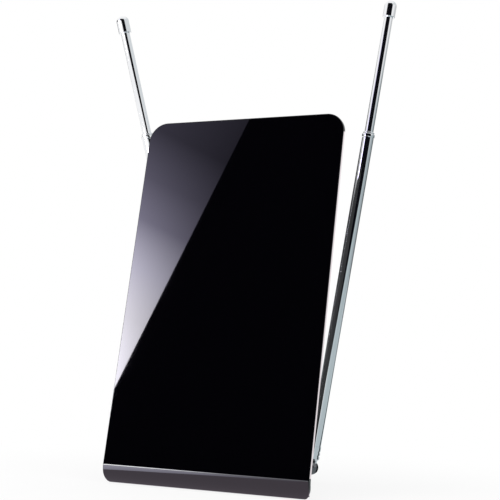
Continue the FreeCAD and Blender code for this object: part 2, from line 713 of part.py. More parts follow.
def ballast_plate():
    """Steel weight that lies on the bottom plate, under the panel."""
    body = new_body("ballast_plate")
    front = f"{FOOT_FRONT} + dims.ballast_inset"
    rear = f"({BOARD_FRONT} - dims.ballast_gap)"
    beside_bosses = f"{foot_side(FRONT_BOSS)} - dims.boss_side - dims.boss_diameter / 2"
    beside_walls = f"{foot_side(rear)} - dims.base_wall"
    half = f"(min({beside_bosses}; {beside_walls}) - dims.ballast_gap)"
    plate = rectangle(sketch_on(body, "XY_Plane", BOTTOM_TOP), f"-{half}", front, half, rear)
    pad(body, plate, f"{BOARD_TOP} - dims.lead_clearance - {BOTTOM_TOP}")
    dress(body, "Chamfer", "dims.edge_round", edges_where(
        body, lambda edge: runs_along(edge, Z_AXIS)), key="Size")
    return keep(body, "ballast_plate")


def circuit_board():
    """Matching board on two posts, with its screw holes."""
    body = new_body("circuit_board")
    board = rectangle(sketch_on(body, "XY_Plane", BOARD_HEIGHT), f"-{BOARD_SIDE}", BOARD_FRONT,
                      BOARD_SIDE, BOARD_REAR)
    pad(body, board, "dims.board_thickness")
    holes = circles(sketch_on(body, "XY_Plane", BOARD_HEIGHT), BOARD_SCREWS,
                    "dims.screw_shank + 2 * dims.screw_clearance")
    pocket(body, holes, "dims.board_thickness", reverse=True)
    return keep(body, "circuit_board")


def balun_core():
    """Two-hole ferrite core of the matching transformer, on the board."""
    body = new_body("balun_core")
    half = "dims.core_width / 2"
    front = f"({BOARD_FRONT} + dims.core_inset)"
    block = rectangle(sketch_on(body, "XZ_Plane", f"-{front}"), f"-{half}", BOARD_TOP,
                      half, CORE_TOP)
    pad(body, block, "dims.core_length", reverse=True)
    dress(body, "Fillet", "dims.core_round", edges_where(
        body, lambda edge: runs_along(edge, Y_AXIS)))
    middle = f"({BOARD_TOP} + {CORE_TOP}) / 2"
    holes = circles(sketch_on(body, "XZ_Plane", f"-{front}"),
                    [("-dims.core_pitch / 2", middle), ("dims.core_pitch / 2", middle)], "dims.core_hole")
    pocket(body, holes, "dims.core_length")
    return keep(body, "balun_core")


def aerial_socket():
    """Screw-on coaxial socket through the rear wall, its insulator and its hexagon nut."""
    place = at("0", f"dims.foot_rear - {FRONT_REACH}", SOCKET_HEIGHT)
    jack = new_body("f_jack", place)
    wall = "-dims.base_wall"
    flange = "(-dims.base_wall - dims.socket_flange_depth)"
    tail = f"({flange} - dims.socket_tail_length)"
    barrel = "dims.socket_diameter / 2"
    relief = "(dims.socket_nut_depth + dims.edge_round)"
    bore_floor = "(dims.socket_length - dims.socket_bore_depth)"
    revolve(jack, outline(sketch_on(jack, "XY_Plane"), [
        ("0", tail),
        ("dims.socket_tail / 2", tail),
        ("dims.socket_tail / 2", flange),
        (f"{SOCKET_FLANGE} / 2", flange),
        (f"{SOCKET_FLANGE} / 2", wall),
        (barrel, wall),
        (barrel, relief),
        (f"{barrel} - dims.edge_round / 2", relief),
        (f"{barrel} - dims.edge_round / 2", f"{relief} + dims.edge_round"),
        (barrel, f"{relief} + dims.edge_round"),
        (barrel, "dims.socket_length - dims.edge_round"),
        (f"{barrel} - dims.edge_round", "dims.socket_length"),
        ("dims.socket_bore / 2", "dims.socket_length"),
        ("dims.socket_bore / 2", bore_floor),
        ("0", bore_floor),
    ]), "V_Axis")
    keep(jack, "f_jack")
    insulator = new_body("jack_insulator", place)
    plug = "dims.socket_bore / 2 - dims.thread_clearance"
    revolve(insulator, outline(sketch_on(insulator, "XY_Plane"), [
        ("dims.socket_contact / 2", bore_floor),
        (plug, bore_floor),
        (plug, "dims.socket_length - dims.edge_round"),
        ("dims.socket_contact / 2", "dims.socket_length - dims.edge_round"),
    ]), "V_Axis")
    keep(insulator, "jack_insulator")
    keep(hex_nut("f_jack_nut", "dims.socket_nut_across", "dims.socket_nut_depth",
                 f"{barrel} + dims.thread_clearance", f"{place} * {at('0', '0', '0', ALONG_Y, '-90')}"),
         "f_jack_nut")


def hex_nut(name, across, thickness, bore, placement):
    """Hexagon nut with a round bore, with its axis along its own Z."""
    prism = primitive("Prism", f"{name}_prism", {"Circumradius": f"{across} / sqrt(3)", "Height": thickness},
                      placement)
    prism.Polygon = 6
    hole = primitive("Cylinder", f"{name}_hole", {"Radius": bore, "Height": thickness}, placement)
    return cut(name, prism, hole)


def rubber_pad():
    """Soft non-slip pad, set in the bottom plate."""
    body = new_body("rubber_pad")
    pad(body, outline(sketch_on(body, "XY_Plane"), foot_outline("dims.pad_inset")),
        "dims.floor_gap + dims.pad_recess")
    dress(body, "Fillet", "dims.pad_corner", edges_where(body, lambda edge: runs_along(edge, Z_AXIS)))
    dress(body, "Chamfer", "dims.edge_round", edges_where(
        body, lambda edge: close_to(middle_of(edge).z, 0)), key="Size")
    return keep(body, "rubber_pad")


def screw(name, head_side, placement, reach):
    """A pan-head screw along its own Z, with its head below its seat."""
    head = primitive("Cylinder", f"{name}_head", {
        "Radius": "dims.screw_head / 2", "Height": "dims.screw_head_height",
    }, f"{placement} * {at('0', '0', head_side)}")
    shank = primitive("Cylinder", f"{name}_shank", {"Radius": "dims.screw_shank / 2", "Height": reach},
                      placement)
    return joined(name, [head, shank])


def screws():
    """Screws of the bottom plate, the board and the panel, each kind a node of its own."""
    below = "-dims.screw_head_height"
    base = [screw("base_screw", below,
                  at(x, f"{y} - {FRONT_REACH}", "dims.floor_gap + dims.screw_head_height"),
                  "dims.screw_length") for x, y in BASE_SCREWS]
    keep(group("base_screws", base), "base_screws")
    board = [screw("board_screw", below,
                   at(x, f"{y} - {FRONT_REACH}", BOARD_TOP, ALONG_Y, "180"),
                   f"{BOARD_SCREW_REACH} + dims.board_thickness") for x, y in BOARD_SCREWS]
    keep(group("board_screws", board), "board_screws")
    seat = f"{PANEL_DEPTH} + dims.base_wall"
    panel = [screw("panel_screw", below, f"{LEANING} * {at(x, seat, z, ALONG_Y, '90')}",
                   f"{PANEL_SCREW_REACH} + dims.base_wall") for x, z in PANEL_SCREWS]
    keep(group("panel_screws", panel), "panel_screws")


def rod(side, sign):
    """One telescopic rod with its ball knuckle, stud, nut and contact."""
    name = f"{side}_{{}}".format
    pivot = f"vector({sign} * {PIVOT_REACH}; {PIVOT_BACK} - {FRONT_REACH}; {PIVOT_HEIGHT})"
    swing = f"rotation(vector(1; 0; 0); dims.{side}_swing)"
    spread = f"rotation(vector(0; 1; 0); {sign} * dims.{side}_spread)"
    swivel_place = f"placement({pivot}; {swing})"
    rod_place = f"placement({pivot}; {swing} * {spread})"
    fixed_place = f"placement({pivot}; rotation(vector(1; 0; 0); 0))"
    swivel_parts(name, sign, swivel_place)
    wall_parts(name, sign, fixed_place)
    ferrule(name, rod_place)
    tubes(name, f"dims.{side}_extension", rod_place)


def sideways(sign, x, placement):
    """A placement whose Z runs inboard from a distance x outside the pivot."""
    return f"{placement} * {at(f'{sign} * ({x})', '0', '0', ALONG_X, f'{sign} * -90')}"


def swivel_parts(name, sign, placement):
    """Ball knuckle with its stud, the hinge pin across it, and the nut on the stud."""
    head = primitive("Sphere", name("ball"), {"Radius": BALL}, placement)
    collar = primitive("Cylinder", name("collar"), {
        "Radius": "dims.collar_diameter / 2",
        "Height": f"{PIVOT_REACH} - {BOSS_OUTER} - dims.swivel_gap",
    }, sideways(sign, "0", placement))
    stud = primitive("Cylinder", name("stud"), {
        "Radius": "dims.stud_diameter / 2", "Height": f"{PIVOT_REACH} - {STUD_END}",
    }, sideways(sign, "0", placement))
    knuckle = joined(name("knuckle_blank"), [head, collar, stud])
    floor = "(dims.tongue_width / 2 + dims.slot_floor_gap)"
    width = "(dims.tongue_thickness + 2 * dims.tongue_clearance)"
    slot = primitive("Box", name("slot"), {
        "Length": f"{floor} + 2 * {BALL}", "Width": width, "Height": f"{floor} + 2 * {BALL}",
    }, f"{placement} * " + at(f"-{floor}" if sign > 0 else f"-2 * {BALL}", f"-{width} / 2", f"-{floor}"))
    across = f"{placement} * {{}}".format
    eye = primitive("Cylinder", name("knuckle_eye"), {
        "Radius": "dims.hinge_pin / 2 + dims.hinge_clearance", "Height": f"2 * {BALL}",
    }, across(at("0", f"-{BALL}", "0", ALONG_Y, "-90")))
    keep(cut(name("knuckle"), knuckle, joined(name("knuckle_cuts"), [slot, eye])), name("knuckle"))
    pin_end = f"({BALL} - dims.pin_recess)"
    pin = primitive("Cylinder", name("hinge_pin"), {
        "Radius": "dims.hinge_pin / 2", "Height": f"2 * {pin_end}",
    }, across(at("0", f"-{pin_end}", "0", ALONG_Y, "-90")))
    keep(pin, name("hinge_pin"))
    nut_face = f"{WASHER_FACE} - dims.nut_gap - {PIVOT_REACH}"
    keep(hex_nut(name("stud_nut"), "dims.nut_across", "dims.nut_thickness",
                 "dims.stud_diameter / 2 + dims.thread_clearance", sideways(sign, nut_face, placement)),
         name("stud_nut"))


def wall_parts(name, sign, placement):
    """Contact strip and washer that stay with the foot, on the inner face of the stud's boss."""
    bore = "dims.stud_diameter / 2 + dims.stud_clearance"
    contact = new_body(name("rod_contact"), placement)
    inner = f"{sign} * ({BOSS_INNER} - dims.stud_contact - {PIVOT_REACH})"
    half = "dims.contact_width / 2"
    strip = rectangle(sketch_on(contact, "YZ_Plane", inner), "-dims.contact_reach",
                      f"{BOARD_TOP} - {PIVOT_HEIGHT}", half, half)
    pad(contact, strip, "dims.stud_contact", reverse=sign < 0)
    hole = circles(sketch_on(contact, "YZ_Plane", inner), [("0", "0")], f"2 * ({bore})")
    pocket(contact, hole, "dims.stud_contact", reverse=sign > 0)
    keep(contact, name("rod_contact"))
    washer_place = sideways(sign, f"{BOSS_INNER} - dims.stud_contact - {PIVOT_REACH}", placement)
    disc = primitive("Cylinder", name("washer_disc"), {
        "Radius": "dims.washer_diameter / 2", "Height": "dims.washer_thickness"}, washer_place)
    eye = primitive("Cylinder", name("washer_eye"), {
        "Radius": bore, "Height": "dims.washer_thickness"}, washer_place)
    keep(cut(name("stud_washer"), disc, eye), name("stud_washer"))


def ferrule(name, placement):
    """Turned rod end: a flat tongue on the hinge pin, two grooves and a spigot for the tube."""
    body = new_body(name("rod_base"), placement)
    full = "dims.ferrule_diameter / 2"
    waist = "(dims.ferrule_diameter / 2 - dims.ring_depth)"
    start = FERRULE_START
    end = FERRULE_END
    section = [("0", start), (f"{full} - dims.ring_width", start), (full, f"{start} + dims.ring_width")]
    for number in (1, 2):
        groove = f"({start} + {number} * dims.ring_pitch)"
        section += [(full, groove), (waist, groove), (waist, f"{groove} + dims.ring_width"),
                    (full, f"{groove} + dims.ring_width")]
    section += [
        (full, end),
        (SPIGOT, end),
        (SPIGOT, f"{end} + dims.spigot_length"),
        ("0", f"{end} + dims.spigot_length"),
    ]
    revolve(body, outline(sketch_on(body, "XZ_Plane"), section), "V_Axis")
    half = "dims.tongue_width / 2"
    tongue = rectangle(sketch_on(body, "XZ_Plane"), f"-{half}", f"-{half}", half,
                       f"{start} + dims.ring_width")
    pad(body, tongue, "dims.tongue_thickness", symmetric=True)
    dress(body, "Fillet", f"{half} - dims.edge_round * 0.1", edges_where(
        body, lambda edge: runs_along(edge, Y_AXIS) and middle_of(edge).z < 0))
    eye = circles(sketch_on(body, "XZ_Plane"), [("0", "0")], "dims.hinge_pin + 2 * dims.hinge_clearance")
    pocket(body, eye, "2 * dims.tongue_thickness", symmetric=True)
    return keep(body, name("rod_base"))


def tube(label, placement, diameter, wall, low, bead_low, high):
    """A drawn tube with a rolled bead at its mouth."""
    body = new_body(label, placement)
    outside = f"({diameter} / 2)"
    bead = f"({outside} + dims.bead_height)"
    revolve(body, outline(sketch_on(body, "XZ_Plane"), [
        (f"{outside} - {wall}", low),
        (outside, low),
        (outside, bead_low),
        (bead, f"{bead_low} + dims.bead_height"),
        (bead, f"{high} - dims.bead_height"),
        (outside, high),
        (f"{outside} - {wall}", high),
    ]), "V_Axis")
    return keep(body, label)


def tubes(name, extension, placement):
    """Three nested tubes and the domed tip."""
    tube(name("outer_tube"), placement, "dims.outer_diameter", "dims.outer_wall", FERRULE_END,
         "(dims.rod_mouth - dims.bead_length)", "dims.rod_mouth")
    tube(name("middle_tube"), placement, MIDDLE_DIAMETER, "dims.middle_wall", MIDDLE_FOOT,
         "(dims.rod_mouth + dims.lip_gap)", MIDDLE_MOUTH)
    top = f"({MIDDLE_MOUTH} + {extension})"
    inner = new_body(name("inner_tube"), placement)
    outside = f"({INNER_DIAMETER} / 2)"
    revolve(inner, rectangle(sketch_on(inner, "XZ_Plane"), f"{outside} - dims.inner_wall",
                             f"{top} + dims.tip_socket - {INNER_LENGTH}", outside,
                             f"{top} + dims.tip_socket"), "V_Axis")
    keep(inner, name("inner_tube"))
    tip = new_body(name("rod_tip"), placement)
    socket = f"{outside} + dims.thread_clearance"
    revolve(tip, outline(sketch_on(tip, "XZ_Plane"), [
        (socket, top),
        ("dims.tip_diameter / 2 - dims.bead_height", top),
        ("dims.tip_diameter / 2", f"{top} + dims.bead_height"),
        ("dims.tip_diameter / 2", f"{top} + dims.tip_length"),
        ("0", f"{top} + dims.tip_length"),
        ("0", f"{top} + dims.tip_socket"),
        (socket, f"{top} + dims.tip_socket"),
    ]), "V_Axis")
    crown = max(vertex.Point.z for vertex in tip.Tip.Shape.Vertexes)
    dress(tip, "Fillet", "dims.tip_diameter / 2 - dims.tip_flat", edges_where(
        tip, lambda edge: edge.Curve.TypeId == "Part::GeomCircle" and close_to(middle_of(edge).z, crown)))
    return keep(tip, name("rod_tip"))


front_cover()
rear_cover()
uhf_element()
feed_lead()
base_top()
base_bottom()
ballast_plate()
circuit_board()
balun_core()
aerial_socket()
rubber_pad()
screws()
rod("right", 1)
rod("left", -1)
doc.recompute()

failed = [thing.Name for thing in doc.Objects if {"Invalid", "Error"} & set(thing.State)]
if failed:
    raise RuntimeError(f"failed objects: {failed}")
os.makedirs("parts", exist_ok=True)
for label, thing in NODES.items():
    if thing.Shape.isNull() or not thing.Shape.isValid():
        raise RuntimeError(f"{label} has no valid shape")
    thing.Shape.exportStep(f"parts/{label}.step")
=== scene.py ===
"""Dresses the flat indoor aerial: gloss panel, weighted foot and two telescopic chrome rods."""

import functools
import json
import logging
import math
from dataclasses import dataclass, field
from enum import Enum
from typing import NamedTuple

import bpy
from mathutils import Matrix, Vector


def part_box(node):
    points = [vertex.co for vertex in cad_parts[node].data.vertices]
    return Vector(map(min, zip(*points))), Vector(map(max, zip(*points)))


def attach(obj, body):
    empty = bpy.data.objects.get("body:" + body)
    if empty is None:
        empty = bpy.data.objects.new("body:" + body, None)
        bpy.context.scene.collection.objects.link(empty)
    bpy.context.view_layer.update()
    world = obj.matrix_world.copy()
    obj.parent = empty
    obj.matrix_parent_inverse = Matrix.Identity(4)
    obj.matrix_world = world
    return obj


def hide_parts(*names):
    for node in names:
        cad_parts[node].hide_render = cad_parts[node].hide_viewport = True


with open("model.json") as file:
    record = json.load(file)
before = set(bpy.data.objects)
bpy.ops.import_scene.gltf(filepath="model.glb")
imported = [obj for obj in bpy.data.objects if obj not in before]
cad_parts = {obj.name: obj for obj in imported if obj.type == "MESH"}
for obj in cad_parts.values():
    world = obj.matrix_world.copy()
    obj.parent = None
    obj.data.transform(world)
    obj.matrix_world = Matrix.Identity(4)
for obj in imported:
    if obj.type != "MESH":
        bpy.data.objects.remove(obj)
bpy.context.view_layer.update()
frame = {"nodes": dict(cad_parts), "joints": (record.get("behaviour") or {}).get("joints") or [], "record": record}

LOG = logging.getLogger("aerial")
PHOTO_SIDE = 500
Colour = tuple[float, float, float]
Pixel = tuple[float, float]
Band = tuple[float, float]
Point = tuple[float, float, float]
Profile = list[tuple[float, float]]
Stops = tuple[tuple[float, Colour], ...]
WHITE: Colour = (1.0, 1.0, 1.0)


class Side(Enum):
    """The two rods, as seen from the front."""

    RIGHT = "right"
    LEFT = "left"


class Grain(Enum):
    """How a surface's fine grain runs: its stretch along the piece's own axes."""

    EVEN = (1.0, 1.0, 1.0)
    DRAWN = (1.0, 1.0, 0.02)
    ROLLED = (0.04, 1.0, 1.0)
    TURNED = (0.02, 0.02, 1.0)


class CoverFront(Enum):
    """The front cover's two flat fronts, by how far forward their normals point at least."""

    FACE = 0.5
    CHIN = 0.999


class SocketKind(Enum):
    """Socket types of the shared node groups."""

    VALUE = "NodeSocketFloat"
    COLOUR = "NodeSocketColor"
    VECTOR = "NodeSocketVector"


class NodeBuilder:
    """Adds nodes to one node tree."""

    def __init__(self, tree: bpy.types.NodeTree) -> None:
        """Starts from the tree as it is."""
        self.tree = tree

    def add(self, kind: str, inputs: dict | None = None, **settings: object) -> bpy.types.Node:
        """Adds a node.

        Args:
            kind: the node's type name.
            inputs: for each input's name or index, a value or the socket that feeds it.
            settings: the node's own properties.

        Returns:
            The new node.
        """
        node = self.tree.nodes.new(kind)
        for name, value in settings.items():
            setattr(node, name, value)
        for name, value in (inputs or {}).items():
            socket = node.inputs[name]
            if isinstance(value, bpy.types.NodeSocket):
                self.tree.links.new(value, socket)
            else:
                socket.default_value = (*value, 1.0) if socket.type == "RGBA" else value
        return node

    def math(self, operation: str, first: object, second: object = 0.0) -> bpy.types.NodeSocket:
        """A math node's result."""
        return self.add("ShaderNodeMath", {0: first, 1: second}, operation=operation).outputs[0]

    def carry(self, value: object, source: Band, target: Band, **settings: object) -> bpy.types.NodeSocket:
        """A value carried from one range over to another."""
        return self.add("ShaderNodeMapRange", {
            "Value": value, "From Min": source[0], "From Max": source[1], "To Min": target[0],
            "To Max": target[1]}, **settings).outputs["Result"]

    def step(self, value: object, band: Band) -> bpy.types.NodeSocket:
        """A smooth step from 0 up to 1 over a band."""
        return self.carry(value, band, (0.0, 1.0), interpolation_type="SMOOTHSTEP")

    def fall(self, value: object, band: Band) -> bpy.types.NodeSocket:
        """A smooth step from 1 down to 0 over a band."""
        return self.math("SUBTRACT", 1.0, self.step(value, band))

    def mix(self, share: object, first: object, second: object) -> bpy.types.NodeSocket:
        """A colour mixed from two."""
        return self.add("ShaderNodeMix", {0: share, 6: first, 7: second}, data_type="RGBA").outputs[2]

    def ramp(self, share: bpy.types.NodeSocket, stops: Stops) -> bpy.types.NodeSocket:
        """A colour ramp through the given stops.

        Args:
            share: the place on the ramp, from 0 to 1.
            stops: places in rising order, each with its colour.

        Returns:
            The colour.
        """
        node = self.add("ShaderNodeValToRGB", {0: share})
        elements = node.color_ramp.elements
        while len(elements) < len(stops):
            elements.new(1.0)
        for element, (position, colour) in zip(elements, stops):
            element.position = position
            element.color = (*colour, 1.0)
        return node.outputs["Color"]


def new_material(name: str) -> tuple[bpy.types.Material, NodeBuilder]:
    """An empty material and the builder for its nodes."""
    material = bpy.data.materials.new(name)
    material.use_nodes = True
    material.node_tree.nodes.clear()
    return material, NodeBuilder(material.node_tree)


def new_group(name: str, inputs: dict[str, SocketKind],
              outputs: dict[str, SocketKind]) -> tuple[NodeBuilder, dict, dict]:
    """An empty shader node group.

    Args:
        name: the group's name.
        inputs: its inputs by name.
        outputs: its outputs by name.

    Returns:
        The builder, the group's incoming sockets and its outgoing sockets.
    """
    tree = bpy.data.node_groups.new(name, "ShaderNodeTree")
    for label, kind in inputs.items():
        tree.interface.new_socket(label, in_out="INPUT", socket_type=kind.value)
    for label, kind in outputs.items():
        tree.interface.new_socket(label, in_out="OUTPUT", socket_type=kind.value)
    builder = NodeBuilder(tree)
    return builder, builder.add("NodeGroupInput").outputs, builder.add("NodeGroupOutput").inputs


@functools.cache
def surface_grain() -> bpy.types.NodeTree:
    """Fine grain: a bump height, and a roughness that varies with the grain and with broad smears.

    Returns:
        The node group.
    """
    build, given, result = new_group(
        "surface_grain",
        {"Stretch": SocketKind.VECTOR, "Scale": SocketKind.VALUE, "Roughness": SocketKind.VALUE,
         "Swing": SocketKind.VALUE},
        {"Height": SocketKind.VALUE, "Roughness": SocketKind.VALUE})
    place = build.add("ShaderNodeTexCoord").outputs["Object"]
    stretched = build.add("ShaderNodeVectorMath", {0: place, 1: given["Stretch"]}, operation="MULTIPLY")
    fine = build.add("ShaderNodeTexNoise", {"Vector": stretched.outputs[0], "Scale": given["Scale"],
                                            "Detail": 3.0, "Roughness": 0.55})
    smear = build.add("ShaderNodeTexNoise", {"Vector": place, "Scale": 45.0, "Detail": 2.0})
    both = build.math("ADD", fine.outputs["Fac"], smear.outputs["Fac"])
    swing = build.math("MULTIPLY", build.math("SUBTRACT", both, 1.0), given["Swing"])
    build.tree.links.new(fine.outputs["Fac"], result["Height"])
    build.tree.links.new(build.math("ADD", given["Roughness"], swing), result["Roughness"])
    return build.tree


@functools.cache
def edge_wear() -> bpy.types.NodeTree:
    """Edges rubbed to another colour, broken up by noise.

    Returns:
        The node group.
    """
    edge_band: Band = (0.01, 0.18)
    break_band: Band = (0.42, 0.62)
    build, given, result = new_group(
        "edge_wear",
        {"Color": SocketKind.COLOUR, "Worn Color": SocketKind.COLOUR, "Amount": SocketKind.VALUE,
         "Radius": SocketKind.VALUE},
        {"Color": SocketKind.COLOUR, "Mask": SocketKind.VALUE})
    rounded = build.add("ShaderNodeBevel", {"Radius": given["Radius"]}, samples=4)
    flat = build.add("ShaderNodeNewGeometry").outputs["Normal"]
    facing = build.add("ShaderNodeVectorMath", {0: rounded.outputs[0], 1: flat}, operation="DOT_PRODUCT")
    edge = build.step(build.math("SUBTRACT", 1.0, facing.outputs["Value"]), edge_band)
    place = build.add("ShaderNodeTexCoord").outputs["Object"]
    noise = build.add("ShaderNodeTexNoise", {"Vector": place, "Scale": 900.0, "Detail": 4.0})
    broken = build.math("MULTIPLY", edge, build.step(noise.outputs["Fac"], break_band))
    mask = build.math("MULTIPLY", broken, given["Amount"])
    build.tree.links.new(build.mix(mask, given["Color"], given["Worn Color"]), result["Color"])
    build.tree.links.new(mask, result["Mask"])
    return build.tree


@functools.cache
def dust_film() -> bpy.types.NodeTree:
    """A thin film of dust on what faces up.

    Returns:
        The node group.
    """
    dust_colour: Colour = (0.36, 0.35, 0.33)
    level_band: Band = (0.55, 0.98)
    patch_band: Band = (0.4, 0.75)
    roughening = 0.5
    build, given, result = new_group(
        "dust_film",
        {"Color": SocketKind.COLOUR, "Roughness": SocketKind.VALUE, "Amount": SocketKind.VALUE},
        {"Color": SocketKind.COLOUR, "Roughness": SocketKind.VALUE})
    normal = build.add("ShaderNodeNewGeometry").outputs["Normal"]
    height = build.add("ShaderNodeSeparateXYZ", {0: normal}).outputs["Z"]
    place = build.add("ShaderNodeTexCoord").outputs["Object"]
    noise = build.add("ShaderNodeTexNoise", {"Vector": place, "Scale": 350.0, "Detail": 6.0})
    lying = build.math("MULTIPLY", build.step(height, level_band),
                       build.step(noise.outputs["Fac"], patch_band))
    mask = build.math("MULTIPLY", lying, given["Amount"])
    build.tree.links.new(build.mix(mask, given["Color"], dust_colour), result["Color"])
    rough = build.math("ADD", given["Roughness"], build.math("MULTIPLY", mask, roughening))
    build.tree.links.new(rough, result["Roughness"])
    return build.tree


@dataclass(frozen=True)
class Finish:
    """One surface finish and the record's slot that it belongs to."""

    slot: str
    colour: Colour
    roughness: float
    metallic: float = 0.0
    grain: Grain = Grain.EVEN
    grain_scale: float = 2500.0
    grain_depth: float = 0.0
    swing: float = 0.05
    worn_colour: Colour = (0.2, 0.2, 0.2)
    wear: float = 0.0
    wear_radius: float = 0.0004
    dust: float = 0.0
    mottle_colour: Colour | None = None
    mottle_scale: float = 120.0
    mottle_band: Band = (0.35, 0.7)
    coat: float = 0.0

    def material(self) -> bpy.types.Material:
        """The finish as a material, made once.

        Returns:
            The material.
        """
        name = f"finish_{self.slot}"
        made = bpy.data.materials.get(name)
        if made:
            return made
        made, build = new_material(name)
        grain = build.add("ShaderNodeGroup", {
            "Stretch": self.grain.value, "Scale": self.grain_scale, "Roughness": self.roughness,
            "Swing": self.swing}, node_tree=surface_grain())
        colour: object = self.colour
        if self.mottle_colour:
            place = build.add("ShaderNodeTexCoord").outputs["Object"]
            noise = build.add("ShaderNodeTexNoise", {"Vector": place, "Scale": self.mottle_scale,
                                                     "Detail": 5.0})
            share = build.step(noise.outputs["Fac"], self.mottle_band)
            colour = build.mix(share, self.colour, self.mottle_colour)
        wear = build.add("ShaderNodeGroup", {
            "Color": colour, "Worn Color": self.worn_colour, "Amount": self.wear,
            "Radius": self.wear_radius}, node_tree=edge_wear())
        dust = build.add("ShaderNodeGroup", {
            "Color": wear.outputs["Color"], "Roughness": grain.outputs["Roughness"],
            "Amount": self.dust}, node_tree=dust_film())
        bump = build.add("ShaderNodeBump", {"Height": grain.outputs["Height"], "Strength": 1.0,
                                            "Distance": self.grain_depth})
        surface = build.add("ShaderNodeBsdfPrincipled", {
            "Base Color": dust.outputs["Color"], "Roughness": dust.outputs["Roughness"],
            "Metallic": self.metallic, "Coat Weight": self.coat, "Normal": bump.outputs["Normal"]})
        build.add("ShaderNodeOutputMaterial", {"Surface": surface.outputs[0]})
        return made

    def dress(self, piece: bpy.types.Object) -> None:
        """Gives a piece this finish alone."""
        piece.data.materials.clear()
        piece.data.materials.append(self.material())


GLOSS_BLACK = Finish(
    "gloss_black", (0.0008, 0.0007, 0.0014), 0.015, grain_scale=5200.0, swing=0.015,
    worn_colour=(0.02, 0.02, 0.022), wear=0.1, dust=0.02)
SATIN_BLACK = Finish(
    "satin_black", (0.022, 0.022, 0.024), 0.42, grain_scale=3800.0, grain_depth=0.00004, swing=0.12,
    worn_colour=(0.09, 0.09, 0.09), wear=0.35, dust=0.12, mottle_colour=(0.028, 0.028, 0.03))
ELEMENT_SHEET = Finish(
    "element_sheet", (0.78, 0.79, 0.8), 0.3, metallic=1.0, grain=Grain.ROLLED, grain_scale=3000.0,
    grain_depth=0.000012, swing=0.12, mottle_colour=(0.68, 0.69, 0.7))
LEAD_JACKET = Finish(
    "lead_jacket", (0.05, 0.045, 0.04), 0.5, grain_scale=1800.0, grain_depth=0.00002, swing=0.1,
    mottle_colour=(0.065, 0.06, 0.052))
BALLAST_STEEL = Finish(
    "ballast_steel", (0.45, 0.45, 0.46), 0.38, metallic=1.0, grain=Grain.ROLLED, grain_scale=1500.0,
    grain_depth=0.00002, swing=0.2, worn_colour=(0.6, 0.6, 0.6), wear=0.5,
    mottle_colour=(0.56, 0.55, 0.5))
BOARD_LAMINATE = Finish(
    "board_laminate", (0.03, 0.17, 0.075), 0.35, grain_scale=2600.0, grain_depth=0.00001, swing=0.1,
    worn_colour=(0.45, 0.43, 0.3), wear=0.6, mottle_colour=(0.045, 0.21, 0.1), coat=0.3)
FERRITE = Finish(
    "ferrite", (0.055, 0.055, 0.06), 0.55, grain_scale=5200.0, grain_depth=0.00004, swing=0.15,
    worn_colour=(0.16, 0.16, 0.165), wear=0.6, mottle_colour=(0.085, 0.085, 0.09))
NICKEL_PLATE = Finish(
    "nickel_plate", (0.72, 0.7, 0.66), 0.2, metallic=1.0, grain=Grain.TURNED, grain_scale=2400.0,
    grain_depth=0.000006, swing=0.1, worn_colour=(0.78, 0.65, 0.4), wear=0.25, dust=0.05,
    mottle_colour=(0.66, 0.635, 0.59))
INSULATOR_WHITE = Finish(
    "insulator_white", (0.85, 0.84, 0.8), 0.4, grain_scale=2500.0, grain_depth=0.00001,
    mottle_colour=(0.8, 0.785, 0.73))
FOOT_RUBBER = Finish(
    "foot_rubber", (0.03, 0.03, 0.031), 0.75, grain_scale=2200.0, grain_depth=0.00006, swing=0.12,
    worn_colour=(0.08, 0.08, 0.08), wear=0.4, mottle_colour=(0.045, 0.045, 0.046))
SCREW_STEEL = Finish(
    "screw_steel", (0.6, 0.6, 0.6), 0.3, metallic=1.0, grain=Grain.TURNED, grain_scale=2600.0,
    grain_depth=0.000008, swing=0.14, worn_colour=(0.75, 0.75, 0.74), wear=0.4,
    mottle_colour=(0.5, 0.5, 0.49))
CONTACT_BRASS = Finish(
    "contact_brass", (0.78, 0.6, 0.28), 0.28, metallic=1.0, grain=Grain.ROLLED, grain_scale=2600.0,
    grain_depth=0.00001, swing=0.12, mottle_colour=(0.66, 0.47, 0.2))
KNUCKLE_METAL = Finish(
    "knuckle_metal", (0.17, 0.17, 0.18), 0.14, metallic=1.0, grain_scale=3000.0, grain_depth=0.000008,
    swing=0.1, worn_colour=(0.6, 0.6, 0.6), wear=0.35, dust=0.05)
ROD_CHROME = Finish(
    "rod_chrome", (0.87, 0.88, 0.9), 0.045, metallic=1.0, grain=Grain.DRAWN, grain_scale=5200.0,
    grain_depth=0.0000006, swing=0.03, dust=0.03)


class Span(NamedTuple):
    """How a piece lies along an axis: its two ends, and its largest distance from the axis."""

    low: float
    high: float
    reach: float


def span_along(node: str, origin: Vector, axis: Vector) -> Span:
    """How a CAD node lies along an axis.

    Args:
        node: the node's name.
        origin: a point on the axis.
        axis: the axis' direction.

    Returns:
        Its span.
    """
    places = []
    reach = 0.0
    for vertex in frame["nodes"][node].data.vertices:
        offset = vertex.co - origin
        along = offset.dot(axis)
        places.append(along)
        reach = max(reach, (offset - along * axis).length)
    return Span(min(places), max(places), reach)


def front_face(front: CoverFront) -> bpy.types.MeshPolygon:
    """One of the CAD front cover's flat fronts: the largest that points so far forward."""
    faces = frame["nodes"]["front_cover"].data.polygons
    return max((face for face in faces if face.normal.y < -front.value), key=lambda face: face.area)


def leaning(tilt: float) -> tuple[Vector, Vector]:
    """The outward and the upward direction of a front that leans back by an angle."""
    return Vector((0.0, -math.cos(tilt), math.sin(tilt))), Vector((0.0, math.sin(tilt), math.cos(tilt)))


